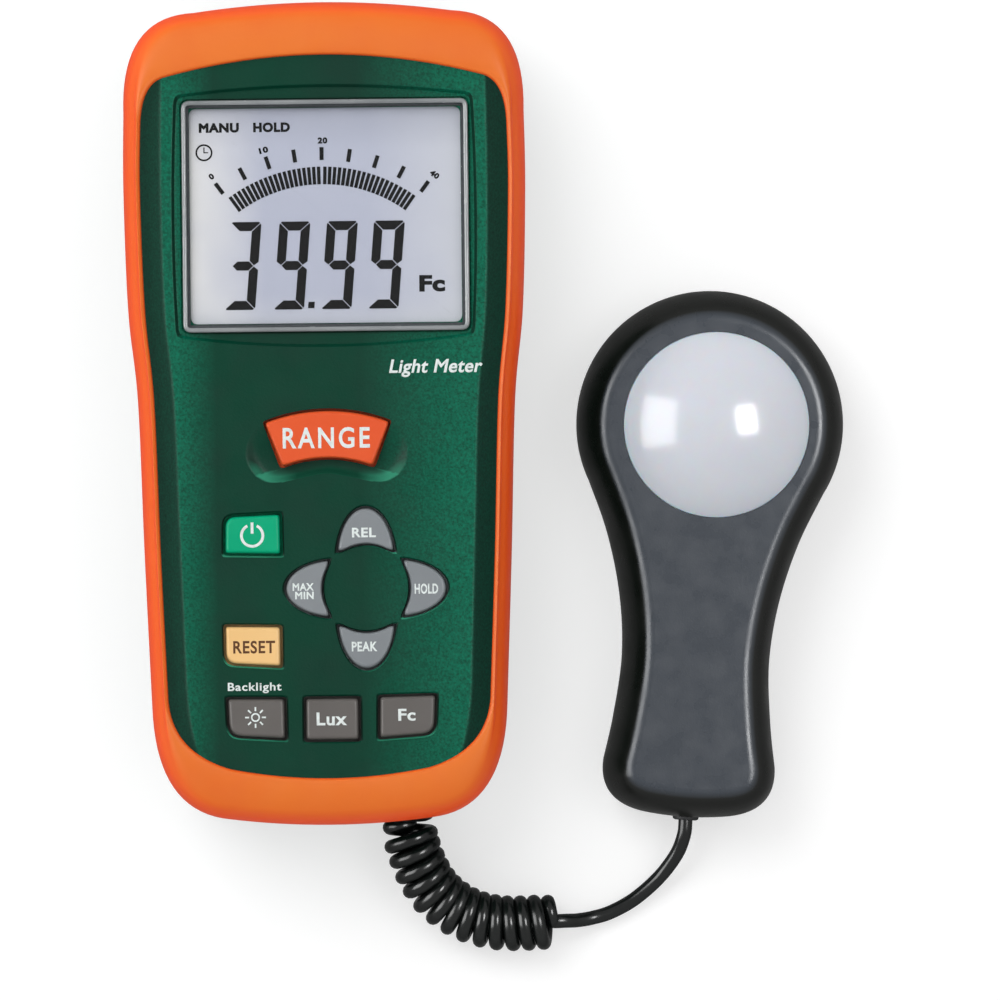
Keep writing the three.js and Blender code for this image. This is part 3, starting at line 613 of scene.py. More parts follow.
def case_plastic():
    """Dark green plastic with a sparked texture.

    Its grains get a painted sheen near its sides, its bevels painted shade, and the edges under the keys a
    painted highlight.
    """
    finish = moulded("case_plastic", (4, 63, 46), (20, 52, 42), 0.45, grain=0.7, specular=0.07)
    grains = finish.noise(0.4, 3)
    sheen_grains = finish.ramp(grains, 0.3, 0.7, 0.2, 1)
    across, along = finish.position("X"), finish.position("Y")
    # Painted sheen: grains lighter towards the sides of the face.
    for start, end in [(0.006, 0.025), (-0.02, -0.027)]:
        finish.tint(finish.times(sheen_grains, finish.ramp(across, start, end, 0, 0.8)), (8, 126, 96))
    # Painted shade: darker where faces turn to the left or right, as the bevels do.
    for outward in (-1, 1):
        finish.wash(finish.facing((outward, 0, 0)), 0.2, 0.6, 0.75, (20, 36, 30))
    # Painted highlight: light teal on faces turned towards +Y, low on the face and away from its middle, such
    # as the edges under the keys.
    side = finish.add("Math", operation="ABSOLUTE")
    finish.link(across, side.inputs[0])
    beside = finish.ramp(side.outputs["Value"], 0.0055, 0.0115, 0.08, 1)
    below = finish.ramp(along, -0.004, -0.006, 0, 1)
    lit = finish.ramp(finish.facing((0, 1, 0)), 0.06, 0.55, 0, 0.85)
    finish.tint(finish.times(below, finish.times(beside, lit)), (60, 156, 124))
    finish.relief(grains, 0.03)
    return finish.material


def brushed(name, colour, roughness):
    """Metal with fine lines along one axis."""
    finish = Finish(name, colour, roughness, metallic=1.0)
    lines = finish.noise(1.5, 4, stretch=(1, 14, 14))
    finish.wash(lines, 0.4, 0.7, 0.4, tuple(int(c * 0.7) for c in colour))
    finish.relief(lines, 0.01)
    finish.gloss(3, roughness - 0.06, roughness + 0.08)
    return finish.material


def lens_acrylic():
    finish = Finish("lens_acrylic", (40, 42, 46), 0.04, specular=0.3)
    finish.gloss(20, 0.03, 0.06)
    finish.set("Alpha", 0.05)
    return finish.material


def display_plate():
    """Pale grey-blue reflective display, paler towards its left and right edges with painted light."""
    finish = Finish("display_plate", (201, 206, 225), 0.45, specular=0.2)
    x, y = finish.position("X"), finish.position("Y")
    # Painted light: paler towards the right and left edges.
    finish.wash(x, 0.008, 0.027, 0.9, (232, 235, 243))
    finish.wash(x, -0.011, -0.025, 1, (255, 255, 255))
    # Painted shadow: darker along the top edge.
    finish.wash(y, 0.048, 0.058, 0.75, (176, 180, 196))
    # Painted light: paler towards the lower part.
    finish.wash(y, 0.022, 0.014, 0.6, (238, 241, 247))
    finish.wash(finish.noise(9, 1), 0.45, 0.75, 0.35, (206, 211, 228))
    finish.relief(finish.noise(0.25, 2), 0.004)
    return finish.material


def ink(name, colour, roughness=0.45):
    finish = Finish(name, colour, roughness, specular=0.15)
    darker = tuple(int(c * 0.86) for c in colour)
    finish.wash(finish.noise(0.8, 2), 0.45, 0.7, 0.5, darker)
    return finish.material


def opal_acrylic():
    """Milky diffuser with a polished surface and a faint painted glow."""
    finish = Finish("opal_acrylic", (214, 217, 225), 0.17)
    finish.set("Subsurface Weight", 0.5)
    finish.set("Subsurface Scale", 0.003)
    finish.wash(finish.noise(12, 2), 0.4, 0.7, 0.5, (210, 213, 222))
    # Painted light: a faint glow in its own colour stands in for light scattered through the diffuser, and
    # evens its shading.
    finish.set("Emission Color", srgb(214, 217, 225))
    finish.set("Emission Strength", 0.05)
    finish.relief(finish.noise(6, 1), 0.01)
    return finish.material


def head_plastic():
    """Black plastic, polished round the rim and matt on the raised face, whose lighter grey is a painted
    reflection.
    """
    finish = moulded(
        "head_plastic", (15, 17, 14), (10, 12, 10), 0.3, grain=0.5, depth=0.003, specular=0.4
    )
    rim, inner = (HEAD_FACE_Z - 0.8) * MM, (HEAD_FACE_Z - 0.1) * MM
    face = finish.ramp(finish.position("Z"), rim, inner, 0, 1)
    # Painted reflection: the raised face is lighter grey, as it would be under the bright studio above.
    finish.tint(face, (60, 66, 74))
    finish.relief(finish.times(finish.noise(0.3, 3), face), 0.015)
    return finish.material


def circuit_board():
    """Green solder mask with paler tracks."""
    finish = Finish("circuit_board", (28, 92, 52), 0.35, coat=0.2)
    tracks = finish.add("TexBrick")
    finish.link(finish.place, tracks.inputs["Vector"])
    tracks.inputs["Scale"].default_value = 120
    tracks.inputs["Mortar Size"].default_value = 0.03
    finish.tint(tracks.outputs["Fac"], (70, 140, 84))
    finish.relief(tracks.outputs["Fac"], 0.03)
    return finish.material


def battery_jacket():
    """Dark wrap with a band of copper colour round the terminal end."""
    finish = Finish("battery_jacket", (40, 43, 50), 0.35, coat=0.3)
    finish.wash(finish.position("X"), 0.0095, 0.0096, 1, (176, 112, 60))
    finish.wash(finish.noise(3, 2), 0.5, 0.7, 0.3, (30, 32, 38))
    return finish.material


def key_grain(specular):
    return {"grain": 0.4, "depth": 0.008, "specular": specular}


# Colour, the colour of its faint clouds, roughness and the rest.
MOULDED = {
    "bezel_plastic": ((146, 150, 152), (108, 113, 115), 0.22, {"grain": 0.8, "depth": 0.01}),
    "white_plastic": ((232, 233, 230), (216, 217, 212), 0.4, {}),
    "black_silicone": ((34, 36, 38), (25, 27, 28), 0.6, {}),
    "black_plastic": ((28, 30, 31), (20, 22, 22), 0.35, {}),
    "orange_key": ((234, 93, 46), (230, 85, 42), 0.4, key_grain(0.12)),
    "teal_key": ((0, 172, 124), (0, 162, 117), 0.4, key_grain(0.1)),
    "amber_key": ((247, 202, 136), (242, 194, 126), 0.4, key_grain(0.2)),
    "cool_grey_key": ((135, 140, 144), (126, 131, 135), 0.4, key_grain(0.2)),
    "warm_grey_key": ((101, 97, 94), (93, 89, 87), 0.4, key_grain(0.2)),
    "cord_jacket": ((15, 19, 18), (10, 13, 12), 0.24, {"grain": 0.4, "depth": 0.006, "specular": 0.4}),
    "filter_glass": ((98, 160, 112), (80, 140, 96), 0.1, {}),
}
MATERIALS = {
    name: moulded(name, colour, dark, roughness, **options).material
    for name, (colour, dark, roughness, options) in MOULDED.items()
} | {
    "holster_rubber": holster_rubber(),
    "case_plastic": case_plastic(),
    "lens_acrylic": lens_acrylic(),
    "lcd_glass": display_plate(),
    "circuit_board": circuit_board(),
    "battery_jacket": battery_jacket(),
    "brass": brushed("brass", (196, 158, 78), 0.3),
    "steel": brushed("steel", (182, 184, 186), 0.3),
    "head_plastic": head_plastic(),
    "opal_acrylic": opal_acrylic(),
}
WHITE_INK = ink("white_ink", (232, 240, 238))
BROWN_INK = ink("brown_ink", (98, 62, 34))
DISPLAY_INK = ink("display_ink", (10, 11, 12), 0.6)
# Painted shade for the shaded gap round the display, on a band under the lens's edge.
PAINTED_GAP_SHADE = ink("painted_gap_shade", (84, 88, 92), 0.4)


def fit(obj, body, slot, nodes=(), material=None):
    """Gives a piece its finish, has it ride on its body and has it stand for its CAD nodes."""
    obj.data.materials.clear()
    obj.data.materials.append(material or MATERIALS[slot])
    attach(obj, body)
    if nodes:
        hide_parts(*nodes)


def place(obj, body, slot, *nodes):
    """Fits a piece, with flat faces that keep flat shading beside their rounded edges."""
    fit(obj, body, slot, nodes)
    modifier = obj.modifiers.new("even_normals", "WEIGHTED_NORMAL")
    modifier.keep_sharp = True
    modifier.weight = 80


# ---- the cord, in metres

CORD_DIAMETER = 0.0026
COIL_TURNS = 14
TURN_STEPS = 26
COIL_RADIUS = 0.00385  # from the coil's axis to the middle of the cord
COIL_OPENS = 0.3  # turns in which it widens from the plug
COIL_CLOSES = 0.35  # turns in which it narrows to the lead
COIL_ROUTE = [
    (0.0143, -0.0751, 0.009), (0.0144, -0.0775, 0.0089), (0.0152, -0.0804, 0.0085),
    (0.0164, -0.0836, 0.0078), (0.0186, -0.0873, 0.0068), (0.0217, -0.0902, 0.0059),
    (0.0256, -0.0923, 0.0055), (0.03, -0.0934, 0.0053), (0.0346, -0.0936, 0.0053),
    (0.0404, -0.0933, 0.0053),
]
LEAD_ROUTE = [
    (0.041, -0.0933, 0.0053), (0.0426, -0.09325, 0.0048), (0.0448, -0.0932, 0.0031),
    (0.0475, -0.0928, 0.0018), (0.0509, -0.0918, 0.0015), (0.0553, -0.0894, 0.0016),
    (0.0598, -0.0855, 0.0026), (0.063, -0.0813, 0.0048), (0.0644, -0.0778, 0.0064),
    (0.0647, -0.0754, 0.0067), (0.06475, -0.0742, 0.0067),
]
PLUG_END = (0.0143, -0.0748, 0.009)
LEAD_STEPS = 60


def ease(share):
    """0 to 1, level at both ends."""
    t = min(max(share, 0), 1)
    return t * t * (3 - 2 * t)


def even_line(route, count):
    """A smooth line through the route in count equal steps."""
    fine = spline(route, count * 8) + [Vector(route[-1])]
    lengths = [0.0]
    for a, b in zip(fine, fine[1:]):
        lengths.append(lengths[-1] + (b - a).length)
    line, k = [], 0
    for i in range(count + 1):
        target = lengths[-1] * i / count
        while k < len(fine) - 2 and lengths[k + 1] < target:
            k += 1
        share = (target - lengths[k]) / (lengths[k + 1] - lengths[k])
        line.append(fine[k].lerp(fine[k + 1], share))
    return line


def coil_path():
    """The helix round the coil's route. It leaves the plug and meets the lead on the route itself."""
    axis = even_line(COIL_ROUTE, COIL_TURNS * TURN_STEPS)
    path = []
    for i, (point, (side, other)) in enumerate(zip(axis, crossways(axis))):
        turns = i / TURN_STEPS
        radius = COIL_RADIUS * ease(turns / COIL_OPENS) * ease((COIL_TURNS - turns) / COIL_CLOSES)
        angle = 2 * math.pi * turns
        path.append(point + (side * math.cos(angle) + other * math.sin(angle)) * radius)
    return path


def make_cord():
    path = [Vector(PLUG_END), *coil_path(), *even_line(LEAD_ROUTE, LEAD_STEPS)]
    cord = tube("sensor_cord", [p / MM for p in path], CORD_DIAMETER / 2 / MM, sides=14)
    cord.data.materials.append(MATERIALS["cord_jacket"])
    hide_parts("cord_coil", "cord_lead")
    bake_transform(cord)
    return cord, path


# ---- meter body

holster_line = meter_outline(HOLSTER_OUTLINE)
window_line = meter_outline(WINDOW_OUTLINE)
plateau_line = meter_outline(PLATEAU_OUTLINE)
case_line = inset(holster_line, CASE_INSET)


def holster_rings():
    """Round the wall and back again: outside, crown, lip, inside and the back window's edge."""
    outside = [
        (3.4, 0), (2.3, 0.25), (1.4, 0.9), (0.8, 1.9), (0.4, 3.2), (0.1, 6), (0, 9), (0, 17), (0, 24),
        (0.12, 26.6), (0.3, 28.5), (0.6, 30.2), (1.0, 31.5), (1.5, 32.6), (2.1, 33.4),
    ]
    crown = [(0.12, 33.85), (0.28, 34.25), (0.5, 34.6), (0.72, 34.78), (0.88, HOLSTER_TOP_Z)]
    lip = [(-0.55, 34.74), (-0.25, 34.58), (-0.07, 34.3), (0, 33.95), (0, 33.4)]
    inside = [
        (HOLSTER_WALL, 33.3), (HOLSTER_WALL, BACK_LIP),
        (BACK_WINDOW_INSET, BACK_LIP), (BACK_WINDOW_INSET, 0.5), (4.35, 0.12), (4.0, 0),
    ]
    shoulder, brim = inset(holster_line, outside[-1][0]), inset(window_line, lip[0][0])
    rings = [level(inset(holster_line, depth), z) for depth, z in outside]
    rings += [level(between(shoulder, brim, share), z) for share, z in crown]
    rings += [level(inset(window_line, depth), z) for depth, z in lip]
    return rings + [level(inset(holster_line, depth), z) for depth, z in inside]


def make_holster():
    """A rubber boot, open at the front window, at the back and round the plug.

    Reflected and bounced rays pass it by, or its orange would colour everything near it.
    """
    boot = loft("rubber_holster", holster_rings(), closed=True)
    plug = middle("sensor_plug")
    flare = [(0, -2), (6.2, -2), (5.0, 2.0), (5.0, 8), (0, 8)]
    cut(boot, turned("hole", flare, (plug.x, OFF_FOOT, plug.z), "Y"))
    place(boot, "case", "holster_rubber", "holster")
    boot.visible_glossy = False
    boot.visible_diffuse = False


DISC_CENTRE = (6.9, -31.9)


def leaf_line(turn):
    """One of the four keys round the bare disc."""
    ring, corner, tip = 8.1, (5.1, 6.8), 14.6
    half = math.atan2(*corner)
    side = bezier([corner, (4.8, 10.6), (2.9, tip), (0, tip)], 12)
    other = [Vector((-p.x, p.y)) for p in reversed(side)]
    inner = arc((0, 0), ring, math.pi / 2 + half, math.pi / 2 - half, 12)[1:-1]
    line = softened([*side, Vector((0, tip)), *other, *inner], step=0.35, rounds=2)
    spin = Matrix.Rotation(turn, 2)
    return [spin @ p + Vector(DISC_CENTRE) for p in line]


SECTOR_CENTRE = (0.1, -31)
SECTOR_INNER, SECTOR_OUTER = 22.9, 31.5
SECTOR_HALF = math.radians(21.2)


def sector_line():
    up = math.pi / 2
    lower = arc(SECTOR_CENTRE, SECTOR_INNER, up + SECTOR_HALF, up - SECTOR_HALF, 30)
    upper = arc(SECTOR_CENTRE, SECTOR_OUTER, up - SECTOR_HALF, up + SECTOR_HALF, 30)
    return softened([*lower, *upper], step=0.4, rounds=2)


def four_sided(*corners):
    """A key's outline. Most of its corners are tight, and the others say their radius."""
    tight = 0.6
    line = rounded_polygon([(*corner, tight)[:3] for corner in corners])
    return softened(line, step=0.35, rounds=1)


KEY_LINES = {
    "range": sector_line(),
    "power": four_sided((-18.7, -25.3), (-8.6, -25.5), (-8.7, -18.3), (-18.6, -18.7, 1.8)),
    "relative": leaf_line(0),
    "max_min": leaf_line(math.pi / 2),
    "peak": leaf_line(math.pi),
    "hold": leaf_line(-math.pi / 2),
    "reset": four_sided((-18.7, -45.3, 1.8), (-8.8, -45.9), (-8.8, -38.8), (-18.8, -38.6)),
    "backlight": four_sided((-18.2, -58.5, 2.2), (-8.1, -59.1), (-8.2, -51.9), (-18.5, -51.8)),
    "lux": four_sided((-4.3, -59.4), (5.3, -59.4), (5.3, -51.9), (-4.3, -51.9)),
    "footcandle": four_sided((9.1, -59.1), (19, -58.4, 2.2), (19.3, -51.5), (9.2, -51.7)),
}
KEY_SLOTS = dict.fromkeys(KEY_LINES, "cool_grey_key") | {
    "range": "orange_key", "power": "teal_key", "reset": "amber_key",
    "backlight": "warm_grey_key", "lux": "warm_grey_key", "footcandle": "warm_grey_key",
}
KEY_TOP = 34.0
BEZEL_CORNER = 1.6
KEY_CLEARANCE = 0.42


def recess_line():
    """A pillow shape round the display."""
    corners = [(-27, 14.2), (27, 14.2), (27, 58), (-27, 58)]
    controls = [(0, 10.4), (28.2, 36), (0, 61.4), (-28.2, 36)]
    line = []
    for i, (corner, control) in enumerate(zip(corners, controls)):
        line += bezier([corner, control, corners[(i + 1) % 4]], 24)
    return softened(line, step=0.6, rounds=4)


def key_opening(name, line):
    """Cuts a key's opening, flared where it meets the face unless the hollow is there."""
    flare = 0.28
    wide = -KEY_CLEARANCE - (0 if name == "range" else flare)
    steps = [(-KEY_CLEARANCE, BEVEL_FOOT_Z - 4), (-KEY_CLEARANCE, PLATEAU_Z - flare)]
    steps += [(wide, PLATEAU_Z), (wide, PLATEAU_Z + 3)]
    return stepped("opening", line, steps, draw=shrunk)


DISH_FOOT = [
    (-13.3, -11.3), (-11.2, -12.5), (-8.6, -12.6), (-4.4, -11.7), (0, -11.0), (4.4, -11.7), (8.6, -12.6),
    (11.2, -12.5), (13.3, -11.3),
]
DISH_SIDE = [(13.3, -11.3), (14.7, -9.2), (15.1, -6.7), (14.2, -4.0), (11.9, -1.5)]
DISH_DEPTH = 1.5


def dish_lines():
    """The hollow's rim and the key's outline, point for point, and how deep the hollow may be there."""
    up, foot_steps, side_steps = math.pi / 2, 60, 24
    start, end = up + SECTOR_HALF, up - SECTOR_HALF
    low = arc(SECTOR_CENTRE, SECTOR_INNER - 0.3, start, end, foot_steps)
    high = arc(SECTOR_CENTRE, SECTOR_OUTER + 0.3, end, start, foot_steps)
    steps = [i / side_steps for i in range(side_steps)]
    key_line = low[:-1] + [low[-1].lerp(high[0], t) for t in steps] + high[:-1]
    key_line += [high[-1].lerp(low[0], t) for t in steps]
    side = spline(DISH_SIDE, side_steps)
    last = Vector(DISH_SIDE[-1])
    brow = arc(SECTOR_CENTRE, SECTOR_OUTER + 0.6, end, start, foot_steps)
    rim = spline(DISH_FOOT, foot_steps) + side + [last, *brow[1:-1]]
    rim += [Vector((-p.x, p.y)) for p in [last, *reversed(side[1:])]]
    fade = [1.0] * foot_steps + [1 - ease(t) for t in steps] + [0.0] * foot_steps + [ease(t) for t in steps]
    return rim, key_line, fade


def range_dish():
    """Cuts the hollow round the range key, deepest along the key's lower edge and gone at its upper one."""
    rim, key_line, fade = dish_lines()
    bowl = [(1, 1), (0.7, 0.99), (0.5, 0.94), (0.38, 0.84), (0.28, 0.66), (0.18, 0.38), (0.09, 0.12), (0, 0)]
    brim = PLATEAU_Z + 0.03
    rings = []
    for share, depth in bowl:
        line = between(rim, key_line, share)
        rings.append([Vector((p.x, p.y, brim - DISH_DEPTH * depth * f)) for p, f in zip(line, fade)])
    return loft("dish", [*rings, level(rim, PLATEAU_Z + 3)])


def make_front_case():
    rows = [(0, BEVEL_FOOT_Z), (0.5, 30.62), (0.86, 32.34), (0.94, 32.72)]
    rings = [level(case_line, PARTING_Z + GAP / 2)]
    rings += [level(between(case_line, plateau_line, share), z) for share, z in rows]
    rings += [level(inset(plateau_line, depth), z) for depth, z in [(0.12, 32.92), (0.45, PLATEAU_Z)]]
    shell = loft("front_shell", rings)
    inner, inner_top = inset(case_line, SHELL_WALL), inset(plateau_line, SHELL_WALL)
    roof, above = PLATEAU_Z - SHELL_WALL, PLATEAU_Z + 3
    cavity = loft("cavity", [level(inner, PARTING_Z - 1), level(inner, 26), level(inner_top, roof)])
    steps = [(0.8, 32.0), (0.3, 32.12), (0, 32.5), (-0.2, 32.9), (-0.5, 33.03), (-0.5, above)]
    recess = stepped("recess", recess_line(), steps, draw=shrunk)
    ledge = prism("ledge", plan("display_bezel", BEZEL_CORNER, 2 * GAP, 2 * GAP), 31.4, above)
    view = prism("view", plan("display_bezel", BEZEL_CORNER - 0.2, -2.8, -3), BEVEL_FOOT_Z - 4, above)
    openings = [key_opening(name, line) for name, line in KEY_LINES.items()]
    cut(shell, cavity, recess, ledge, view, range_dish(), *openings)
    place(shell, "case", "case_plastic", "front_case")


def make_key(name, line):
    """A cap with softened edges, its flange under the case and its stem."""
    rows = [
        (2.0, 26.6), (2.0, 28.9), (-0.5, 28.9), (-0.5, 30.5), (0, 30.5),
        (0.06, 32.8), (0.14, 33.5), (0.26, 33.8), (0.45, 33.95), (0.75, KEY_TOP),
    ]
    key = stepped(f"{name}_key", line, rows, draw=shrunk)
    place(key, f"{name}_button", KEY_SLOTS[name], f"{name}_button")


# ---- display

DIGIT = {"width": 5.6, "height": 16.0, "stroke": 1.64, "gap": 0.11, "slant": 0.084, "y": 19.0}
DIGITS = [("3", -18.4), ("9", -9.5), ("9", -0.85), ("9", 7.7)]
LIT = {"3": "abcdg", "9": "abcdfg"}
DECIMAL_POINT = [(-3.15, 19.2), (-2.0, 19.2), (-1.9, 20.35), (-3.05, 20.35)]
SCALE_CENTRE = (-0.39, 15.95)
BARS_EACH_SIDE = 20
FIRST_BAR = math.radians(1.15)
BAR_PITCH = math.radians(1.8)
BAR_HALF = math.radians(0.65)
BAR_RADII = (25.8, 29.0)
TICK_PITCH = math.radians(9.15)
TICK_RADII = (30.2, 32.55)
TICK_HALF_WIDTH = 0.37


def segments():
    """The seven segments of an upright digit, lettered as usual from the top one clockwise."""
    w, h, s, g = DIGIT["width"], DIGIT["height"], DIGIT["stroke"], DIGIT["gap"]
    m, nib = h / 2, s / 2
    top = [
        (g + 0.3, h), (w - g - 0.3, h), (w - g - 0.12, h - 0.2),
        (w - s - g, h - s), (s + g, h - s), (g + 0.12, h - 0.2),
    ]
    right = [
        (w, h - g - 0.4), (w, m + nib * 0.9), (w - nib, m + g),
        (w - s, m + nib + g), (w - s, h - s - g), (w - 0.15, h - g - 0.2),
    ]
    bar = [
        (nib + g, m), (s + g, m + nib), (w - s - g, m + nib),
        (w - nib - g, m), (w - s - g, m - nib), (s + g, m - nib),
    ]
    low_right, low = [[(x, h - y) for x, y in points] for points in (right, top)]
    left = [(w - x, y) for x, y in right]
    return {"a": top, "b": right, "c": low_right, "d": low, "f": left, "g": bar}


def digit_marks():
    marks = [[Vector(corner) for corner in DECIMAL_POINT]]
    for numeral, left in DIGITS:
        for letter in LIT[numeral]:
            outline = segments()[letter]
            marks.append([Vector((left + x + DIGIT["slant"] * y, DIGIT["y"] + y)) for x, y in outline])
    return marks


def radial_mark(angle, radii, half_width):
    """A short stroke away from the scale's centre. Angle 0 is straight up, and it grows clockwise."""
    out = Vector((math.sin(angle), math.cos(angle)))
    across = Vector((out.y, -out.x)) * half_width
    inner, outer = Vector(SCALE_CENTRE) + out * radii[0], Vector(SCALE_CENTRE) + out * radii[1]
    return [inner - across, inner + across, outer + across, outer - across]


def scale_marks():
    half_width = math.tan(BAR_HALF) * sum(BAR_RADII) / 2
    marks = []
    for i in range(BARS_EACH_SIDE):
        angle = FIRST_BAR + i * BAR_PITCH
        marks += [radial_mark(side * angle, BAR_RADII, half_width) for side in (-1, 1)]
    return marks + [radial_mark(i * TICK_PITCH, TICK_RADII, TICK_HALF_WIDTH) for i in range(-4, 5)]


def ring_mark(centre, radius, width, start=0.0, end=360.0):
    """A round stroke between two angles, as four outlines, since an outline can't have a hole."""
    turns = [math.radians(start + (end - start) * i / 4) for i in range(5)]
    marks = []
    for a, b in zip(turns, turns[1:]):
        marks.append(arc(centre, radius + width / 2, a, b, 8) + arc(centre, radius - width / 2, b, a, 8))
    return marks


def stroke_mark(start, end, width):
    a, b = Vector(start), Vector(end)
    across = (b - a).normalized().orthogonal() * width / 2
    return [a - across, b - across, b + across, a + across]


def clock_marks():
    x, y = -21.8, 47.7
    hands = [stroke_mark((x, y - 0.1), (x, y + 0.95), 0.2), stroke_mark((x, y), (x + 0.75, y), 0.2)]
    return ring_mark((x, y), 1.4, 0.3) + hands


DISPLAY_WORDS = [
    ("MANU", (-19.05, 52.2), 7.3, 1.75, 0),
    ("HOLD", (-9.45, 52.2), 6.7, 1.75, 0),
    ("0", (-20.5, 43.35), 0.85, 1.1, 36),
    ("10", (-10.95, 48.05), 1.7, 1.1, 14),
    ("20", (-0.2, 49.7), 1.75, 1.1, 0),
    ("40", (20.15, 43.3), 1.75, 1.1, -36),
]


def make_display():
    frame_line = plan("display_bezel", BEZEL_CORNER)
    rows = [
        (0, 31.7), (0, 32.75), (0.08, 32.95), (0.25, 33.08), (0.45, 33.1),
        (0.65, 33.04), (0.8, 32.9), (0.85, 32.7), (0.85, 31.7),
    ]
    place(stepped("display_rim", frame_line, rows, closed=True), "case", "bezel_plastic", "display_bezel")

    lens_line = inset(frame_line, 1.15)
    lens = stepped("clear_lens", lens_line, [(0, 31.7), (0, 32.6), (0.1, 32.75), (0.25, 32.8)])
    place(lens, "case", "lens_acrylic", "display_lens")
    # A grey band under the lens's edge: painted shade where the gap round the display lies in shadow.
    gap_shade_rows = [(-0.25, 31.5), (-0.25, 31.65), (0.2, 31.65), (0.2, 31.5)]
    fit(stepped("lens_gap_shade", lens_line, gap_shade_rows, closed=True), "case", None, material=PAINTED_GAP_SHADE)

    low, high = spans("lcd_glass")[2]
    edge = 0.2
    rows = [(edge, low), (0, low + edge), (0, high - edge), (edge, high)]
    place(stepped("display_plate", plan("lcd_glass", 0.5), rows), "case", "lcd_glass", "lcd_glass")

    surface = high + 0.02
    marks = [
        stamp("display_digits", digit_marks(), surface),
        stamp("display_scale", scale_marks(), surface),
        stamp("display_clock", clock_marks(), surface),
        lettering("display_words", DISPLAY_WORDS, surface, weight=0.058, spacing=1.12),
        lettering("display_unit", [("Fc", (19.5, 23.5), 4.7, 3.0, 0)], surface, weight=0.046, spacing=1.05),
    ]
    for mark in marks:
        fit(mark, "case", "lcd_glass", material=DISPLAY_INK)


# ---- legends


def sun_marks():
    centre = Vector((-13.5, -55.2))
    marks = ring_mark(centre, 0.68, 0.28)
    for i in range(8):
        out = Vector((math.cos(math.pi * i / 4), math.sin(math.pi * i / 4)))
        marks.append(stroke_mark(centre + out * 1.15, centre + out * 1.9, 0.3))
    return marks


def power_marks():
    x, y = -13.75, -22.1
    return [*ring_mark((x, y), 1.95, 0.5, 116, 424), stroke_mark((x, y + 0.35), (x, y + 2.4), 0.5)]


KEY_WORDS = {
    "range": [("RANGE", (-0.07, -4.45), 15.9, 3.8, 0)],
    "relative": [("REL", (6.6, -21.75), 4.4, 1.8, 0)],
    "max_min": [("MAX", (-4.55, -31.55), 3.9, 1.4, 0), ("MIN", (-4.35, -33.1), 3.4, 1.4, 0)],
    "peak": [("PEAK", (6.5, -42.5), 4.7, 1.8, 0)],
    "hold": [("HOLD", (17.85, -32.1), 4.3, 1.85, 0)],
    "reset": [("RESET", (-13.6, -42.4), 7.65, 2.3, 0)],
    "lux": [("Lux", (0.4, -55.6), 5.6, 2.4, 0)],
    "footcandle": [("Fc", (14.06, -55.0), 3.2, 2.2, 0)],
}


# Weight of the strokes and spacing of the letters.
PLAIN_STYLE = (0.036, 1.08)
STYLES = {"range": (0.024, 1.24), "lux": (0.034, 1.1), "footcandle": (0.032, 1.05), "reset": (0.03, 1.1)}


def make_legends():
    for name, words in KEY_WORDS.items():
        weight, spacing = STYLES.get(name, PLAIN_STYLE)
        legend = lettering(f"{name}_legend", words, KEY_TOP - 0.02, weight, spacing)
        fit(legend, f"{name}_button", None, material=BROWN_INK if name == "reset" else WHITE_INK)
    fit(stamp("power_symbol", power_marks(), KEY_TOP), "power_button", None, material=WHITE_INK)
    fit(stamp("sun_symbol", sun_marks(), KEY_TOP), "backlight_button", None, material=WHITE_INK)
    face = PLATEAU_Z - 0.02
    label = [("Backlight", (-13.6, -49.6), 9.8, 1.5, 0)]
    fit(lettering("backlight_label", label, face, 0.026, 1.12), "case", None, material=WHITE_INK)
    title = [("Light Meter", (20.1, 8.45), 16.8, 2.5, 0)]
    fit(lettering("face_title", title, face, 0.028, 1.05, slant=0.2), "case", None, material=WHITE_INK)


# ---- back of the meter

BAY = {"x": 25.6, "y": (-52.4, -25.6), "top": 19.4, "wall": 1.2, "side_wall": 3.2}
POCKET = {"x": 19.5, "y": (8.4, 58.5), "top": 3.6}
TAB_X = 5.5  # half the width of the door's screw tab
DOOR_FOOT = -53.1
HINGE = (0, 55.9, 1.9)
PIN_RADIUS = 1.0


def chamfered(name, line, low, high):
    edge = 0.3
    return stepped(name, line, [(edge, low), (0, low + edge), (0, high - edge), (edge, high)])


def upright(name, node, radius, low, high, sides=48):
    """A rod through the middle of a CAD node."""
    centre = middle(node)
    return rod(name, radius, low, high, (centre.x, centre.y, 0), sides=sides)


def rear_case_blocks(step, top):
    x, (low, high), wall = BAY["x"], BAY["y"], BAY["wall"]
    bay_y = (low - wall, high + wall)
    side = x + BAY["side_wall"]
    pocket_x = (-POCKET["x"] - 2, POCKET["x"] + 2)
    pocket_y = (POCKET["y"][0] - 4, POCKET["y"][1] + 2)
    return [
        block("bay_wall", (-side, side), bay_y, (step, top)),
        block("bay_roof", (-x - wall, x + wall), bay_y, (top - 1, BAY["top"] + wall)),
        block("pocket_wall", pocket_x, pocket_y, (step, POCKET["top"] + 1.8)),
        upright("tripod_boss", "tripod_insert", 6.4, step, 9.5),
        upright("door_boss", "battery_door_screw", 3.2, step, 10),
        *[upright("screw_boss", f"case_screw_{i}", 4, step, 6) for i in range(1, 5)],
    ]


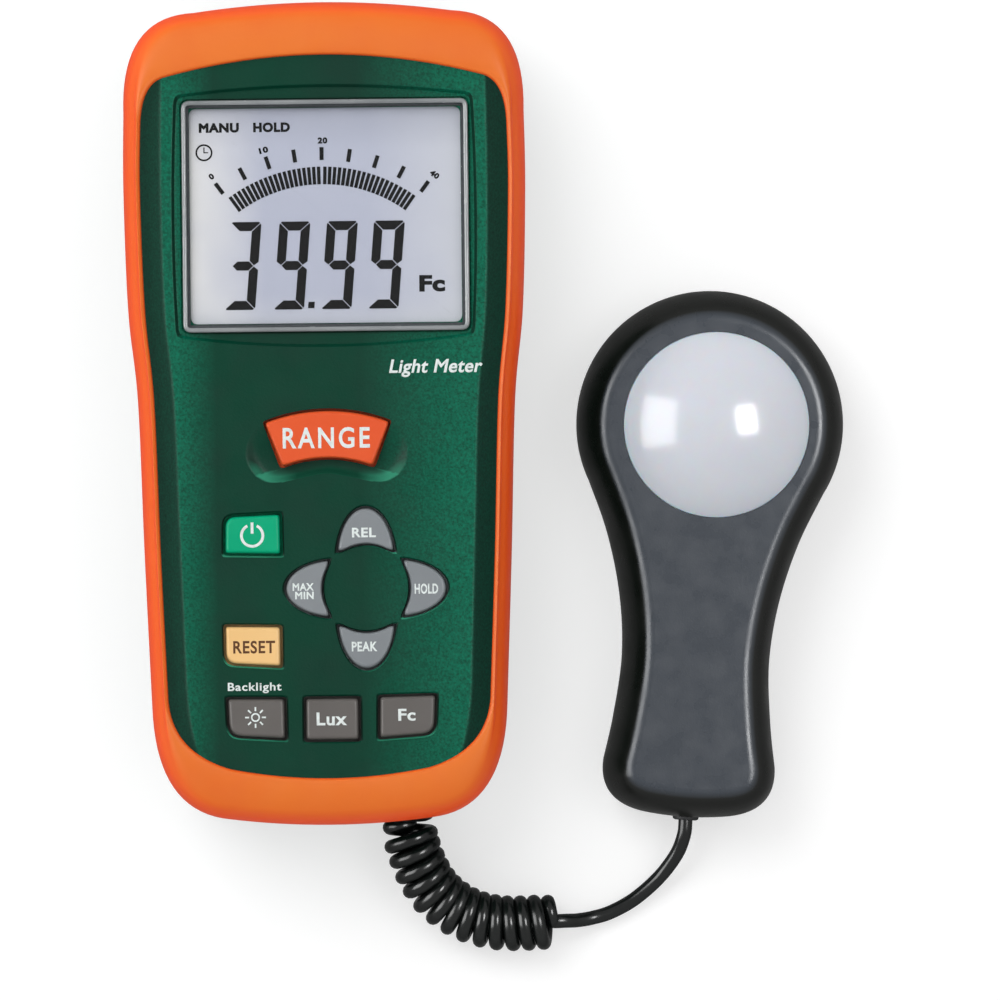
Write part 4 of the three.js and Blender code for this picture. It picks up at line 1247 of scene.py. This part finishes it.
def rear_case_cutters():
    door_x, door_y, door_z = spans("battery_door")
    plug = middle("sensor_plug")
    x, (low, high) = POCKET["x"], POCKET["y"]
    seat_z = (BELOW, door_z[1] + GAP)
    tab = TAB_X + GAP
    pocket = rounded_polygon([(-x, low, 1.5), (x, low, 1.5), (x, high, 0.8), (-x, high, 0.8)])
    notch = rounded_polygon([(-7, low - 3, 2), (7, low - 3, 2), (7, low + 1, 0.5), (-7, low + 1, 0.5)])
    return [
        block("bay", (-BAY["x"], BAY["x"]), BAY["y"], (BELOW, BAY["top"])),
        block("door_seat", (door_x[0] - GAP, door_x[1] + GAP), (DOOR_FOOT - GAP, door_y[1] + GAP), seat_z),
        block("tab_seat", (-tab, tab), (door_y[0] - GAP, -40), seat_z),
        upright("door_bore", "battery_door_screw", 1.5, 0, 8.6),
        prism("pocket", pocket, BELOW, POCKET["top"]),
        prism("finger_notch", notch, BELOW, 2.4),
        rod("pin_bore", PIN_RADIUS, -21.2, 21.2, HINGE, "X", 24),
        upright("tripod_bore", "tripod_insert", 4.5, BELOW, 7.8),
        rod("plug_bore", 4.8, OFF_FOOT, -67, (plug.x, 0, plug.z), "Y"),
        *[upright("screw_well", f"case_screw_{i}", 2.9, BELOW, 3.4) for i in range(1, 5)],
        *[upright("screw_bore", f"case_screw_{i}", 1.6, 0, 8) for i in range(1, 5)],
    ]


def make_rear_case():
    land = inset(holster_line, BACK_WINDOW_INSET + GAP)
    step, top = BACK_LIP + GAP, PARTING_Z - GAP / 2
    rows = [(inset(land, 0.9), 0), (inset(land, 0.3), 0.18), (land, 0.8), (land, step)]
    rows += [(case_line, step), (case_line, top)]
    shell = loft("rear_shell", [level(line, z) for line, z in rows])
    cut(shell, prism("hollow", inset(case_line, SHELL_WALL), BACK_WALL, PARTING_Z + 1))
    join(shell, *rear_case_blocks(step, top))
    cut(shell, *rear_case_cutters())
    place(shell, "case", "case_plastic", "rear_case")


def make_stand():
    (left, right), (free, _), _ = spans("tilt_stand")
    hinge_y = HINGE[1]
    corners = [(left + 3, free, 4), (right - 3, free, 4), (right, hinge_y, 0.4), (left, hinge_y, 0.4)]
    stand = chamfered("tilt_stand_plate", rounded_polygon(corners), GAP, 2.6)
    join(stand, rod("barrel", 1.4, left, right, HINGE, "X", 32))
    panel = rectangle(0, 33, 22, 26, 2)
    ribs = [block("rib_gap", (-7, 7), (12 + 1.6 * i, 12.8 + 1.6 * i), (BELOW, 0.6)) for i in range(4)]
    cut(stand, prism("panel", panel, BELOW, 1.1), rod("bore", PIN_RADIUS, -21, 21, HINGE, "X", 24), *ribs)
    place(stand, "stand", "case_plastic", "tilt_stand")


def make_door():
    (left, right), (tab_end, high), z = spans("battery_door")
    line = rounded_polygon([
        (left, DOOR_FOOT, 1.5), (-TAB_X, DOOR_FOOT, 0.5), (-TAB_X, tab_end, 1.5), (TAB_X, tab_end, 1.5),
        (TAB_X, DOOR_FOOT, 0.5), (right, DOOR_FOOT, 1.5), (right, high, 1.5), (left, high, 1.5),
    ])
    door = chamfered("battery_cover", line, *z)
    grips = [block("grip", (-9, 9), (-31 - 1.8 * i, -30.1 - 1.8 * i), (BELOW, 0.5)) for i in range(5)]
    seat = upright("seat", "battery_door_screw", 2.7, BELOW, 1)
    bore = upright("bore", "battery_door_screw", 1.5, 0, 3)
    cut(door, seat, bore, *grips)
    place(door, "door", "case_plastic", "battery_door")


def make_screw(node, body, shank):
    """A pan head with a cross slot, on a threaded shank."""
    (left, right), _, (low, high) = spans(node)
    centre, radius = middle(node), (right - left) / 2
    shoulder = low + (0.65 if node == "battery_door_screw" else 1.85)
    profile = [(0, low), (radius * 0.7, low), (radius * 0.93, low + 0.12), (radius, low + 0.35)]
    profile += [(radius, shoulder), (shank, shoulder)]
    pitch = 0.6
    for i in range(int((high - shoulder - 1) / pitch)):
        base = shoulder + i * pitch
        profile += [(shank, base + 0.2), (shank * 0.82, base + 0.4)]
    profile += [(shank * 0.8, high - 0.6), (0, high)]
    screw = turned(f"{node}_body", profile, (centre.x, centre.y, 0), sides=32)
    slot_z = (-2, low + (shoulder - low) * 0.6)
    reach, half = radius * 0.65, 0.32
    for x, y in [(reach, half), (half, reach)]:
        cut(screw, block("slot", (centre.x - x, centre.x + x), (centre.y - y, centre.y + y), slot_z))
    place(screw, body, "steel", node)


def make_tripod_insert():
    (left, right), _, (low, high) = spans("tripod_insert")
    centre, outer = middle("tripod_insert"), (right - left) / 2
    bore, crest, pitch = 3.1, 2.75, 1.27
    profile = [(outer, low + 0.2), (outer, high), (bore, high)]
    for i in reversed(range(5)):
        base = 0.6 + i * pitch
        profile += [(crest, base + pitch * 0.6), (bore, base + pitch * 0.1)]
    profile += [(bore, 0.5), (3.5, low), (outer - 0.2, low)]
    insert = turned("tripod_bush", profile, (centre.x, centre.y, 0), closed=True)
    fit(insert, "case", "brass", ["tripod_insert"])


# ---- plug


def make_plug():
    """A round plug with grip rings, over its metal barrel."""
    (left, right), (start, end), _ = spans("sensor_plug")
    centre, radius = middle("sensor_plug"), (right - left) / 2
    profile = [(0, start), (1.8, start), (2.9, start + 0.1), (3.9, start + 0.5), (radius - 0.1, start + 1.1)]
    for i in range(4):
        y = start + 1.6 + i * 1.1
        profile += [(radius, y), (radius, y + 0.45), (radius - 0.3, y + 0.6), (radius - 0.3, y + 0.95)]
    profile += [(radius, end - 0.6), (radius - 0.3, end), (0, end)]
    plug = turned("cord_plug", profile, (centre.x, 0, centre.z), "Y", sides=40)
    fit(plug, "plug", "black_plastic", ["sensor_plug"])

    (left, right), (start, end), _ = spans("plug_barrel")
    radius = (right - left) / 2
    ring = radius - 0.35
    profile = [(0, start), (radius, start), (radius, end - 1.6), (ring, end - 1.4), (ring, end - 1.1)]
    profile += [(radius, end - 0.9), (radius - 0.1, end - 0.3), (radius - 0.9, end), (0, end)]
    barrel = turned("plug_contact", profile, (centre.x, 0, centre.z), "Y", sides=40)
    fit(barrel, "plug", "steel", ["plug_barrel"])
    return plug, barrel


# ---- sensor head

head_line = head_outline()


def on_head(obj):
    """Moves a piece drawn in the head's own frame to where the head lies."""
    obj.data.transform(HEAD_FRAME)
    return obj


FACE_SHIFT = 0.6  # the raised face sits to the same side as the dome
CORD_Z = 6.7  # where the cord enters the head


def at_head_screws(radius, low, high, sides=24):
    return [rod("at_screw", radius, low, high, (x, y, 0), sides=sides) for x, y in HEAD_SCREWS]


def make_head_front():
    rows = [
        (0, 10.15), (0.12, 11.5), (0.42, 13), (0.85, 14.4), (1.4, 15.9), (2.05, 17.2),
        (2.7, 18.3), (3.35, 19.1), (4.0, 19.6), (4.7, 19.9), (5.5, HEAD_FACE_Z),
    ]
    rings = []
    for depth, z in rows:
        over = Vector((FACE_SHIFT * ease((z - HEAD_PARTING_Z) / 8), 0))
        rings.append(level([p + over for p in inset(head_line, depth)], z))
    shell = loft("head_cover", rings)
    cavity = [(SHELL_WALL, HEAD_PARTING_Z - 1), (SHELL_WALL + 0.9, 14), (SHELL_WALL + 3, HEAD_FACE_Z - 2.2)]
    cut(shell, stepped("hollow", head_line, cavity))
    join(shell, *at_head_screws(2.6, HEAD_PARTING_Z + GAP / 2, HEAD_FACE_Z - 1))
    hole = rod("hole", DOME_RADIUS + 0.15, 8, 30, (DOME_X, 0, 0), sides=96)
    cut(shell, hole, *at_head_screws(1.4, 8, HEAD_FACE_Z - 3))
    place(on_head(shell), "head", "head_plastic", "head_front_shell")


def make_head_rear():
    rows = [(2.6, 0), (1.8, 0.25), (0.9, 1.1), (0.45, 2.2), (0.2, 3.8), (0.05, 7), (0, 9.85)]
    shell = stepped("head_base", head_line, rows)
    cut(shell, prism("hollow", inset(head_line, SHELL_WALL + 0.4), BACK_WALL, HEAD_PARTING_Z + 1))
    join(shell, *at_head_screws(3.4, 1, 4.6, sides=32))
    wells, bores = at_head_screws(2.5, BELOW, 2.6, sides=32), at_head_screws(1.4, 0, 6)
    foot = HEAD_FOOT["end"]
    cut(shell, *wells, *bores, rod("cord_way", 2.7, foot - 3, foot + 4, (0, 0, CORD_Z), "Y", 32))
    place(on_head(shell), "head", "head_plastic", "head_rear_shell")


def make_dome():
    """A shallow opal cap with a flange under the head's cover."""
    wall, flange_low, flange_high = 1.8, 16.1, 17.5
    sphere = (DOME_RADIUS**2 + DOME_RISE**2) / (2 * DOME_RISE)
    centre = HEAD_FACE_Z + DOME_RISE - sphere
    rim = math.asin((HEAD_FACE_Z - centre) / sphere)
    inner, skirt = sphere - wall, DOME_RADIUS - wall
    over = arc((0, centre), sphere, rim, math.pi / 2, 24)[:-1]
    under = arc((0, centre), inner, math.pi / 2, math.acos(skirt / inner), 16)[1:]
    profile = [
        (skirt, flange_low), (DOME_FLANGE, flange_low), (DOME_FLANGE, flange_high),
        (DOME_RADIUS - 0.15, flange_high), *[tuple(p) for p in over], (0, centre + sphere),
        (0, centre + inner), *[tuple(p) for p in under],
    ]
    dome = turned("opal_dome", profile, (DOME_X, 0, 0), sides=96, closed=True)
    fit(on_head(dome), "head", "opal_acrylic", ["diffuser_dome"])


def make_grommet():
    """A rubber strain relief with rings, where the cord enters the head."""
    end = HEAD_FOOT["end"]
    profile = [
        (0, end - 0.6), (1.9, end - 0.6), (2.3, end - 0.4), (2.4, end), (2.4, end + 3.8),
        (3.3, end + 3.8), (3.3, end + 5.3), (0, end + 5.3),
    ]
    grommet = turned("cord_relief", profile, (0, 0, CORD_Z), "Y", sides=32)
    fit(on_head(grommet), "head", "black_silicone", ["cord_grommet"])


# ---- light and floor

LIGHT_AIM = Vector((0.071, -0.0028, 0.02))


def make_light(name, tilt, lean, distance, size, power, glossy=True, diffuse=True):
    """A soft box. tilt is its angle from the vertical towards +X, and lean towards +Y, in degrees.

    Its size is along Y, then along the arc of its tilt. It can be kept from shiny or from matt surfaces.
    """
    data = bpy.data.lights.new(name, "AREA")
    data.shape = "RECTANGLE"
    data.size, data.size_y = size
    data.energy = power
    light = add_object(name, data)
    towards = Vector((math.tan(math.radians(tilt)), math.tan(math.radians(lean)), 1)).normalized()
    light.location = LIGHT_AIM + towards * distance
    light.rotation_euler = towards.to_track_quat("Z", "Y").to_euler()
    light.visible_camera = False
    light.visible_glossy = glossy
    light.visible_diffuse = diffuse


def make_world():
    """A pale studio that is dark below the table, so that rims which turn down reflect little."""
    world = bpy.data.worlds.new("studio")
    world.use_nodes = True
    nodes, links = world.node_tree.nodes, world.node_tree.links
    place = nodes.new("ShaderNodeTexCoord")
    split = nodes.new("ShaderNodeSeparateXYZ")
    ramp = nodes.new("ShaderNodeMapRange")
    links.new(place.outputs["Generated"], split.inputs["Vector"])
    links.new(split.outputs["Z"], ramp.inputs["Value"])
    for key, value in {"From Min": -0.45, "From Max": 0.3, "To Min": 0.19, "To Max": 0.64}.items():
        ramp.inputs[key].default_value = value
    background = nodes["Background"]
    background.inputs["Color"].default_value = (1, 1, 1, 1)
    links.new(ramp.outputs["Result"], background.inputs["Strength"])
    bpy.context.scene.world = world


FLOOR_GLOW = 0.53


def make_floor():
    """A white table, lit a little from below as a product photographer's is."""
    half = 3000
    corners = [Vector((x, y, -0.3)) for x, y in [(-half, -half), (half, -half), (half, half), (-half, half)]]
    floor = solid("floor", corners, [(0, 1, 2, 3)])
    finish = Finish("floor", (196, 196, 196), 0.6)
    finish.wash(finish.noise(400, 2), 0.4, 0.7, 0.3, (192, 192, 192))
    finish.set("Emission Color", (1, 1, 1, 1))
    finish.set("Emission Strength", FLOOR_GLOW)
    floor.data.materials.append(finish.material)
    floor.visible_glossy = False


# ---- assembly

make_camera()
cord, cord_path = make_cord()
plug_pieces = make_plug()
make_grommet()

make_holster()
make_front_case()
make_rear_case()
make_display()
for key_name, key_line in KEY_LINES.items():
    make_key(key_name, key_line)
make_legends()
make_stand()
make_door()
make_tripod_insert()
for number in range(1, 5):
    make_screw(f"case_screw_{number}", "case", shank=1.3)
make_screw("battery_door_screw", "door", shank=1.2)
for number in range(1, 4):
    make_screw(f"head_screw_{number}", "head", shank=1.1)
make_head_front()
make_head_rear()
make_dome()

CARRIED_OVER = {
    "white_plastic": ["backlight_panel"],
    "black_silicone": ["elastomer_strip", "keypad_mat"],
    "black_plastic": ["controller_chip", "buzzer", "battery_snap", "sensor_jack"],
    "circuit_board": ["main_board", "head_board"],
    "battery_jacket": ["battery"],
    "steel": ["stand_pin", "photodiode"],
    "filter_glass": ["photometric_filter"],
}
for slot_name, node_names in CARRIED_OVER.items():
    for node_name in node_names:
        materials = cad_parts[node_name].data.materials
        materials.clear()
        materials.append(MATERIALS[slot_name])

make_world()
make_light("left_box", -58.7, 6.2, 1.2, (0.85, 1.0), 20.0, diffuse=False)
make_light("right_box", 27.2, 4.8, 1.2, (0.5, 0.37), 12.5, diffuse=False)
make_light("key", -28, 30, 1.2, (0.7, 0.7), 6.0, glossy=False)
make_floor()
bpy.context.scene.view_settings.view_transform = "Standard"
